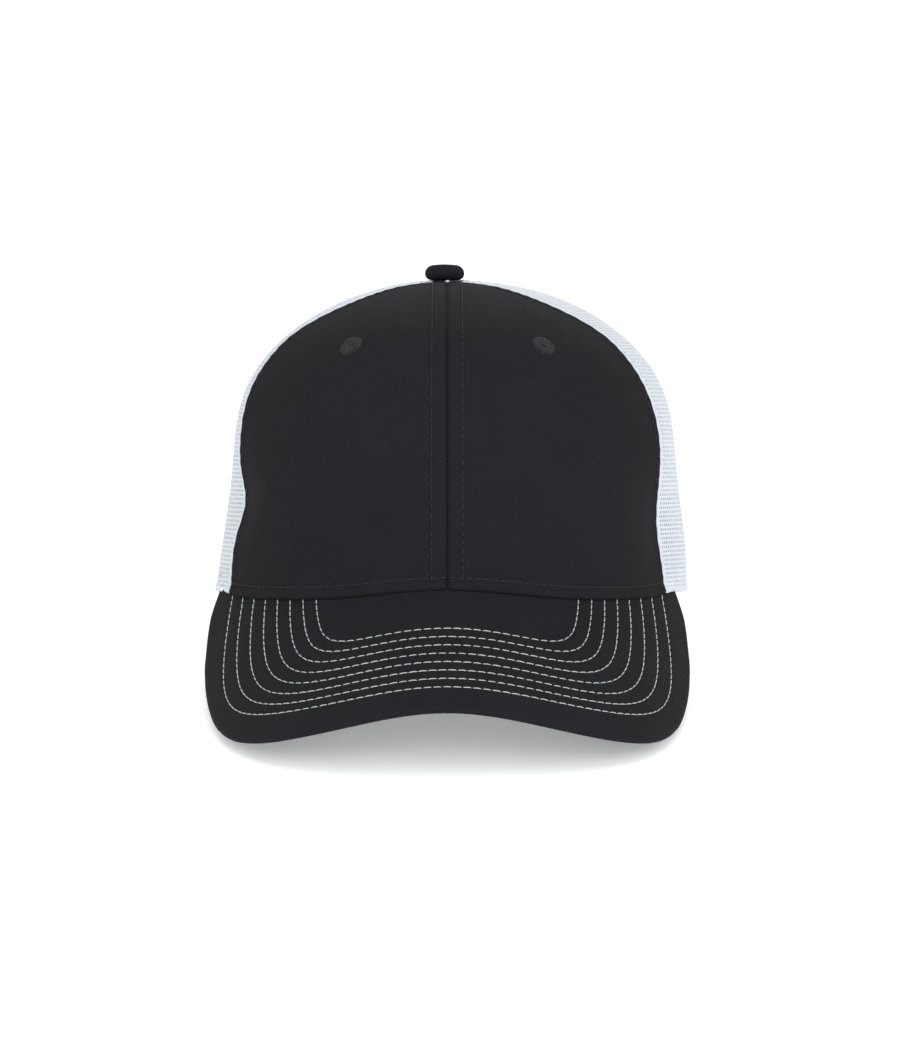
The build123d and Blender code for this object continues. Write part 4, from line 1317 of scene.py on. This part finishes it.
# ---- Sweatband ---------------------------------------------------------------------------
# A band of black cotton is sewn inside the rim from one side of the rear opening to the other.
# Its upper edge is folded over, and a soft backing lies behind the part on the forehead.

SWEATBAND_TOP = 33.0
SWEATBAND_DEPTH = 3.6
BAND_COLUMNS = 420
sweat_look = {"Wale Pitch": 0.7, "Wale Angle": math.radians(70), "Wale Colour": (0.042, 0.042, 0.047, 1)}
sweat_twill = cloth_material("sweat_twill", twill_group, sweat_look, 0.04, sheen=0.15)


def band_grid(low, high, depth, columns, profile, end=None):
    """Grid right round the rim, from one edge of the rear opening to the other. profile holds
    (share of the height, out) pairs."""
    rows = []
    for share, out in profile:
        height = low + share * (high - low)
        if end is None:
            limit = bearing_of(arch_half(height) + 0.8, height, -depth)
        else:
            limit = end
        bearing = np.linspace(-limit, limit, columns)
        lift = rim_lift(np.abs(bearing)) * (1 - share) ** 3
        rows.append(crown(bearing, height + lift, out - depth))
    return np.stack(rows, axis=0)


wave = [(s, 0.0) for s in np.linspace(0.0, 0.94, 22)]
fold = [(0.97, -0.15), (0.99, -0.05), (1.0, 0.35)]
grid = band_grid(0.6, SWEATBAND_TOP, SWEATBAND_DEPTH, BAND_COLUMNS, [(0.0, 2.6), (0.0, 1.2)] + wave + fold)
round_band = np.sin(np.linspace(0, 55 * np.pi, BAND_COLUMNS))[None, :, None]
ripple = 0.18 * round_band * np.linspace(0, 1, grid.shape[0])[:, None, None] ** 3
grid[..., :2] = grid[..., :2] * (1 + ripple / 90)
sweatband = sheet_piece("sweatband_cloth", grid)
thicken(sweatband, 0.7)
finish_piece(sweatband, "cap", sweat_twill, ["sweatband"])
sweat_rows = []
for height in (3.5, 29.5):
    limit = float(bearing_of(arch_half(height) + 2.0, height, -SWEATBAND_DEPTH))
    at = np.linspace(-limit, limit, 500)
    sweat_rows.append((crown(at, height, -SWEATBAND_DEPTH - 0.68), -outward(at, height)))
sew("sweatband_thread", sweat_rows, black_thread, 3.4, 2.8, 0.45, 81)

# Backing behind the forehead
backing_felt = knit_material("backing_felt", (0.70, 0.70, 0.69), 700)
backing_profile = [(s, 0.0) for s in np.linspace(0, 1, 16)]
backing = sheet_piece("sweatband_backing_felt", band_grid(2.0, 30.0, 3.0, 160, backing_profile, end=66.0))
thicken(backing, 0.5)
finish_piece(backing, "cap", backing_felt, ["sweatband_backing"])

# Blank care label
label_look = {"Yarn Pitch": 0.25, "Gap Colour": (0.6, 0.6, 0.59, 1), "Yarn Colour": (0.8, 0.8, 0.79, 1)}
label_satin = cloth_material("label_satin_cloth", scrim_group, label_look, 0.03, sheen=0.2)
LABEL_BEARING = 100.0
LABEL_WIDTH = 30.0
label_rate = float(degrees_across(LABEL_BEARING, 10.0))
label_angle = LABEL_BEARING + np.linspace(-LABEL_WIDTH / 2, LABEL_WIDTH / 2, 40) * label_rate
label_rise = np.linspace(0, 1, 26)
label_out = -4.55 - 1.6 * label_rise ** 2
label_points = crown(label_angle[None, :], 2.0 + 17.5 * label_rise[:, None], label_out[:, None])
label = sheet_piece("care_label_satin", label_points)
thicken(label, 0.3)
finish_piece(label, "cap", label_satin, ["care_label"])


# ---- Binding of the rear opening ---------------------------------------------------------
# White tape is folded over the cut edge of the mesh round the arch and sewn through.

binding_look = {"Yarn Pitch": 0.5, "Gap Colour": (0.38, 0.40, 0.43, 1), "Yarn Colour": (0.57, 0.60, 0.64, 1)}
binding_weave = cloth_material("binding_weave", scrim_group, binding_look, 0.08)


def arch_point(turn, away, out):
    """Points round the rear opening: turn from one foot over the top to the other, distance
    outside the edge, and out from the crown."""
    radius = ARCH_RADIUS + away
    x = radius * np.cos(turn)
    z = ARCH_SPRING + radius * np.sin(turn)
    bearing = np.where(x >= 0, 1, -1) * bearing_of(np.abs(x), z, 0.0)
    return crown(bearing, z, out)


foot_turn = math.asin((ARCH_SPRING - 0.4) / (ARCH_RADIUS + 0.5))
arch_turn = np.linspace(-foot_turn, math.pi + foot_turn, 220)
BINDING = [(6.0, -0.05), (5.6, 0.3), (4.5, 0.42), (1.0, 0.42), (0.2, 0.35), (-0.35, -0.05),
           (-0.5, -0.5), (-0.35, -1.0), (0.2, -1.4), (1.0, -1.5), (4.5, -1.5), (5.6, -1.4), (6.0, -1.05)]
outer = np.stack([arch_point(arch_turn, away, out) for away, out in BINDING], axis=1)
binding = closed_strip("arch_binding_tape", outer, "cap", binding_weave, ["arch_binding"])
binding_along = np.linspace(0, ARCH_RADIUS * (math.pi + 2 * foot_turn), 220)
binding_across = np.cumsum([0] + [math.dist(BINDING[k], BINDING[k + 1]) for k in range(len(BINDING) - 1)])
binding_uv = np.stack(np.broadcast_arrays(binding_along[:, None], binding_across[None, :]), axis=-1)
map_weave(binding, binding_uv.reshape(-1, 2))
binding_rows = []
for away in (1.3, 4.9):
    for out, sign in ((0.45, 1), (-1.53, -1)):
        points = arch_point(arch_turn, away, out)
        lifted = arch_point(arch_turn, away, 1.0) - arch_point(arch_turn, away, 0.0)
        binding_rows.append((points, sign * lifted))
sew("arch_binding_thread", binding_rows, white_thread, 3.2, 2.6, 0.42, 82)


# ---- Snap straps -------------------------------------------------------------------------
# Two moulded plastic straps close the rear opening. The one on the wearer's right has holes
# and lies outside; the one on the left has pegs. Each bends where it leaves its sewn tab.

STRAP_BOTTOM = 6.0
STRAP_WIDTH = 17.0
STRAP_THICK = 1.3
STRAP_GAP = 0.3
SNAP_COUNT = 7
SNAPS_CLOSED = 4
SNAP_PITCH = 9.0
HOLE_RADIUS = 2.6
PEG_RADIUS = 2.0
TIP_MARGIN = 5.2
TIP_ROUND = 6.0
TAB_LENGTH = 14.0
TAB_START = 1.45
TAB_DEPTH = 2.3
HINGE_OFFSET = abs(strap_joint["pos_m"][0]) / MM
ROOT_SAG = RIM_BACK * (1 - math.sqrt(1 - (HINGE_OFFSET / RIM_HALF_WIDTH) ** 2))
STRAP_CENTRE = RIM_BACK - (HINGE_OFFSET ** 2 + ROOT_SAG ** 2) / (2 * ROOT_SAG)
HINGE_RADIUS = math.hypot(HINGE_OFFSET, STRAP_ROOT_BACK - STRAP_CENTRE)
HINGE_ANGLE = math.degrees(math.asin(HINGE_OFFSET / HINGE_RADIUS))
STEP_OUT = STRAP_THICK + STRAP_GAP
PITCH_ANGLE = math.degrees(SNAP_PITCH / (HINGE_RADIUS + STEP_OUT - STRAP_THICK / 2))
LAST_SNAP = (SNAPS_CLOSED - 1) * PITCH_ANGLE / 2
TIP_ANGLE = LAST_SNAP + math.degrees(TIP_MARGIN / (HINGE_RADIUS + STEP_OUT - STRAP_THICK / 2))

snap_plastic = bpy.data.materials.new("snap_plastic_satin")
snap_plastic.use_nodes = True
snap_tree = snap_plastic.node_tree
snap_skin = snap_tree.nodes["Principled BSDF"]
snap_place = snap_tree.nodes.new("ShaderNodeTexCoord")
snap_grain = noise(snap_tree, snap_place.outputs["Object"], 1800, 2.0)
snap_tree.links.new(calc(snap_tree, "MULTIPLY_ADD", snap_grain, 0.15, 0.34), snap_skin.inputs["Roughness"])
snap_relief = snap_tree.nodes.new("ShaderNodeBump")
snap_relief.inputs["Distance"].default_value = 0.02 * MM
snap_tree.links.new(snap_grain, snap_relief.inputs["Height"])
snap_tree.links.new(snap_relief.outputs["Normal"], snap_skin.inputs["Normal"])
snap_skin.inputs["Base Color"].default_value = (0.018, 0.018, 0.02, 1)


def strap_line(side, outside):
    """Middle of a strap seen from above, from the end of its tab to its tip, as on the wearer's
    left, with the distance along it."""
    tab_x = np.linspace(HINGE_OFFSET + TAB_START + TAB_LENGTH, HINGE_OFFSET + TAB_START + 0.25, 24)
    tab_bearing = bearing_of(tab_x, 14.5, -TAB_DEPTH)
    tab = crown(side * tab_bearing, 14.5, -TAB_DEPTH)[:, :2] * (side, 1)
    angle = np.linspace(HINGE_ANGLE, -TIP_ANGLE, 160)
    radius = HINGE_RADIUS + (STEP_OUT * step(HINGE_ANGLE - 0.5, HINGE_ANGLE - 4.5, angle) if outside else 0)
    turn = np.radians(angle)
    arc = np.stack([radius * np.sin(turn), STRAP_CENTRE + radius * np.cos(turn)], axis=1)
    line = np.concatenate([tab, arc])
    along = np.concatenate([[0], np.cumsum(np.linalg.norm(np.diff(line, axis=0), axis=1))])
    return line, along, float(along[24])


def strap_points(side, line, along, s, level, out):
    """Points of a strap: distance along it, height above its middle, and out from its middle."""
    x = np.interp(s, along, line[:, 0])
    y = np.interp(s, along, line[:, 1])
    dx = np.interp(s + 0.3, along, line[:, 0]) - np.interp(s - 0.3, along, line[:, 0])
    dy = np.interp(s + 0.3, along, line[:, 1]) - np.interp(s - 0.3, along, line[:, 1])
    n = np.hypot(dx, dy) + 1e-9
    nx, ny = -dy / n, dx / n
    flip = np.where(ny > 0, 1, -1)
    return np.stack([side * (x + out * nx * flip), y + out * ny * flip,
                     STRAP_BOTTOM + STRAP_WIDTH / 2 + level + 0 * s], axis=-1)


def strap_outline(s, total, level):
    """Pull the corners of the tip in to a round."""
    past = np.maximum(s - (total - TIP_ROUND), 0)
    limit = STRAP_WIDTH / 2 - TIP_ROUND + np.sqrt(np.maximum(TIP_ROUND ** 2 - past ** 2, 0))
    return np.clip(level, -limit, limit)


def strap_piece(name, side, outside, holes, nodes):
    """Strap with its tab as one bending piece, with round holes or with pegs."""
    line, along, root = strap_line(side, outside)
    total = float(along[-1])
    first = total - TIP_MARGIN
    centres = [first - k * SNAP_PITCH for k in range(SNAP_COUNT)]
    flat = bmesh.new()
    half = STRAP_WIDTH / 2
    levels = np.linspace(-half, half, 13)
    cell = SNAP_PITCH / 2
    start = centres[-1] - cell
    stops = np.linspace(0, start, 34)

    def vertex(s, level):
        """Point of the flat strap, kept within its outline."""
        return flat.verts.new((s, float(strap_outline(np.array(s), total, np.array(level))), 0))

    grid = [[vertex(s, level) for level in levels] for s in stops]
    for a, b in zip(grid[:-1], grid[1:]):
        for k in range(len(levels) - 1):
            flat.faces.new((a[k], b[k], b[k + 1], a[k + 1]))
    for centre in reversed(centres):
        low, high = centre - cell, min(centre + cell, total)
        if holes:
            rim = [(low, l) for l in levels] + [(s, half) for s in np.linspace(low, high, 9)[1:-1]]
            rim += [(high, l) for l in levels[::-1]] + [(s, -half) for s in np.linspace(high, low, 9)[1:-1]]
            rings = []
            for share in (0.0, 0.12, 0.35, 0.65, 1.0):
                ring = []
                for s, l in rim:
                    angle = math.atan2(l, s - centre)
                    hole = (centre + HOLE_RADIUS * math.cos(angle), HOLE_RADIUS * math.sin(angle))
                    ring.append(vertex(hole[0] + share * (s - hole[0]), hole[1] + share * (l - hole[1])))
                rings.append(ring)
            for a, b in zip(rings[:-1], rings[1:]):
                for k in range(len(rim)):
                    m = (k + 1) % len(rim)
                    flat.faces.new((a[k], a[m], b[m], b[k]))
        else:
            stops = np.linspace(low, high, 9)
            grid = [[vertex(s, level) for level in levels] for s in stops]
            for a, b in zip(grid[:-1], grid[1:]):
                for k in range(len(levels) - 1):
                    flat.faces.new((a[k], b[k], b[k + 1], a[k + 1]))
    bmesh.ops.remove_doubles(flat, verts=flat.verts, dist=0.01)
    bmesh.ops.recalc_face_normals(flat, faces=flat.faces)
    flat.verts.ensure_lookup_table()
    flat.verts.index_update()
    co = np.array([v.co[:] for v in flat.verts])
    shape = strap_points(side, line, along, co[:, 0], co[:, 1], STRAP_THICK / 2)
    inner = strap_points(side, line, along, co[:, 0], co[:, 1], -STRAP_THICK / 2)
    faces = [tuple(v.index for v in f.verts) for f in flat.faces]
    count = len(co)
    solid = faces + [tuple(count + i for i in reversed(f)) for f in faces]
    for edge in flat.edges:
        if edge.is_boundary:
            a, b = edge.verts[0].index, edge.verts[1].index
            solid.append((a, b, count + b, count + a))
    flat.free()
    vertices = [shape, inner]
    if not holes:
        base = 2 * count
        for centre in centres:
            profile = [(PEG_RADIUS, 0.0), (PEG_RADIUS * 0.97, 0.5), (1.9, 1.1), (1.85, 1.35),
                       (1.95, 1.55), (1.8, 1.85), (1.35, 2.05), (0.6, 2.12)]
            a = np.linspace(0, 2 * np.pi, 28, endpoint=False)
            for r, h in profile:
                vertices.append(strap_points(side, line, along, centre + r * np.cos(a), r * np.sin(a),
                                             STRAP_THICK / 2 - 0.15 + h))
            for row in range(len(profile) - 1):
                for c in range(28):
                    d = (c + 1) % 28
                    low, high = base + row * 28, base + (row + 1) * 28
                    solid.append((low + c, low + d, high + d, high + c))
            solid.append(tuple(base + (len(profile) - 1) * 28 + c for c in range(28)))
            solid.append(tuple(base + c for c in reversed(range(28))))
            base += len(profile) * 28
    piece = mesh_object(name, np.concatenate(vertices), solid, smooth=False)
    clean = bmesh.new()
    clean.from_mesh(piece.data)
    bmesh.ops.recalc_face_normals(clean, faces=clean.faces)
    clean.to_mesh(piece.data)
    clean.free()
    soften = piece.modifiers.new("soften", "BEVEL")
    soften.width = 0.22 * MM
    soften.segments = 3
    soften.limit_method = "ANGLE"
    soften.angle_limit = math.radians(50)
    settle(piece)
    piece.data.polygons.foreach_set("use_smooth", [True] * len(piece.data.polygons))
    piece.data.materials.append(snap_plastic)
    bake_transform(piece)
    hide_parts(*nodes)
    return piece


strap_piece("hole_strap_moulding", -1, True, True, ["hole_strap", "hole_strap_tab"])
strap_piece("peg_strap_moulding", 1, False, False, ["peg_strap", "peg_strap_tab"])
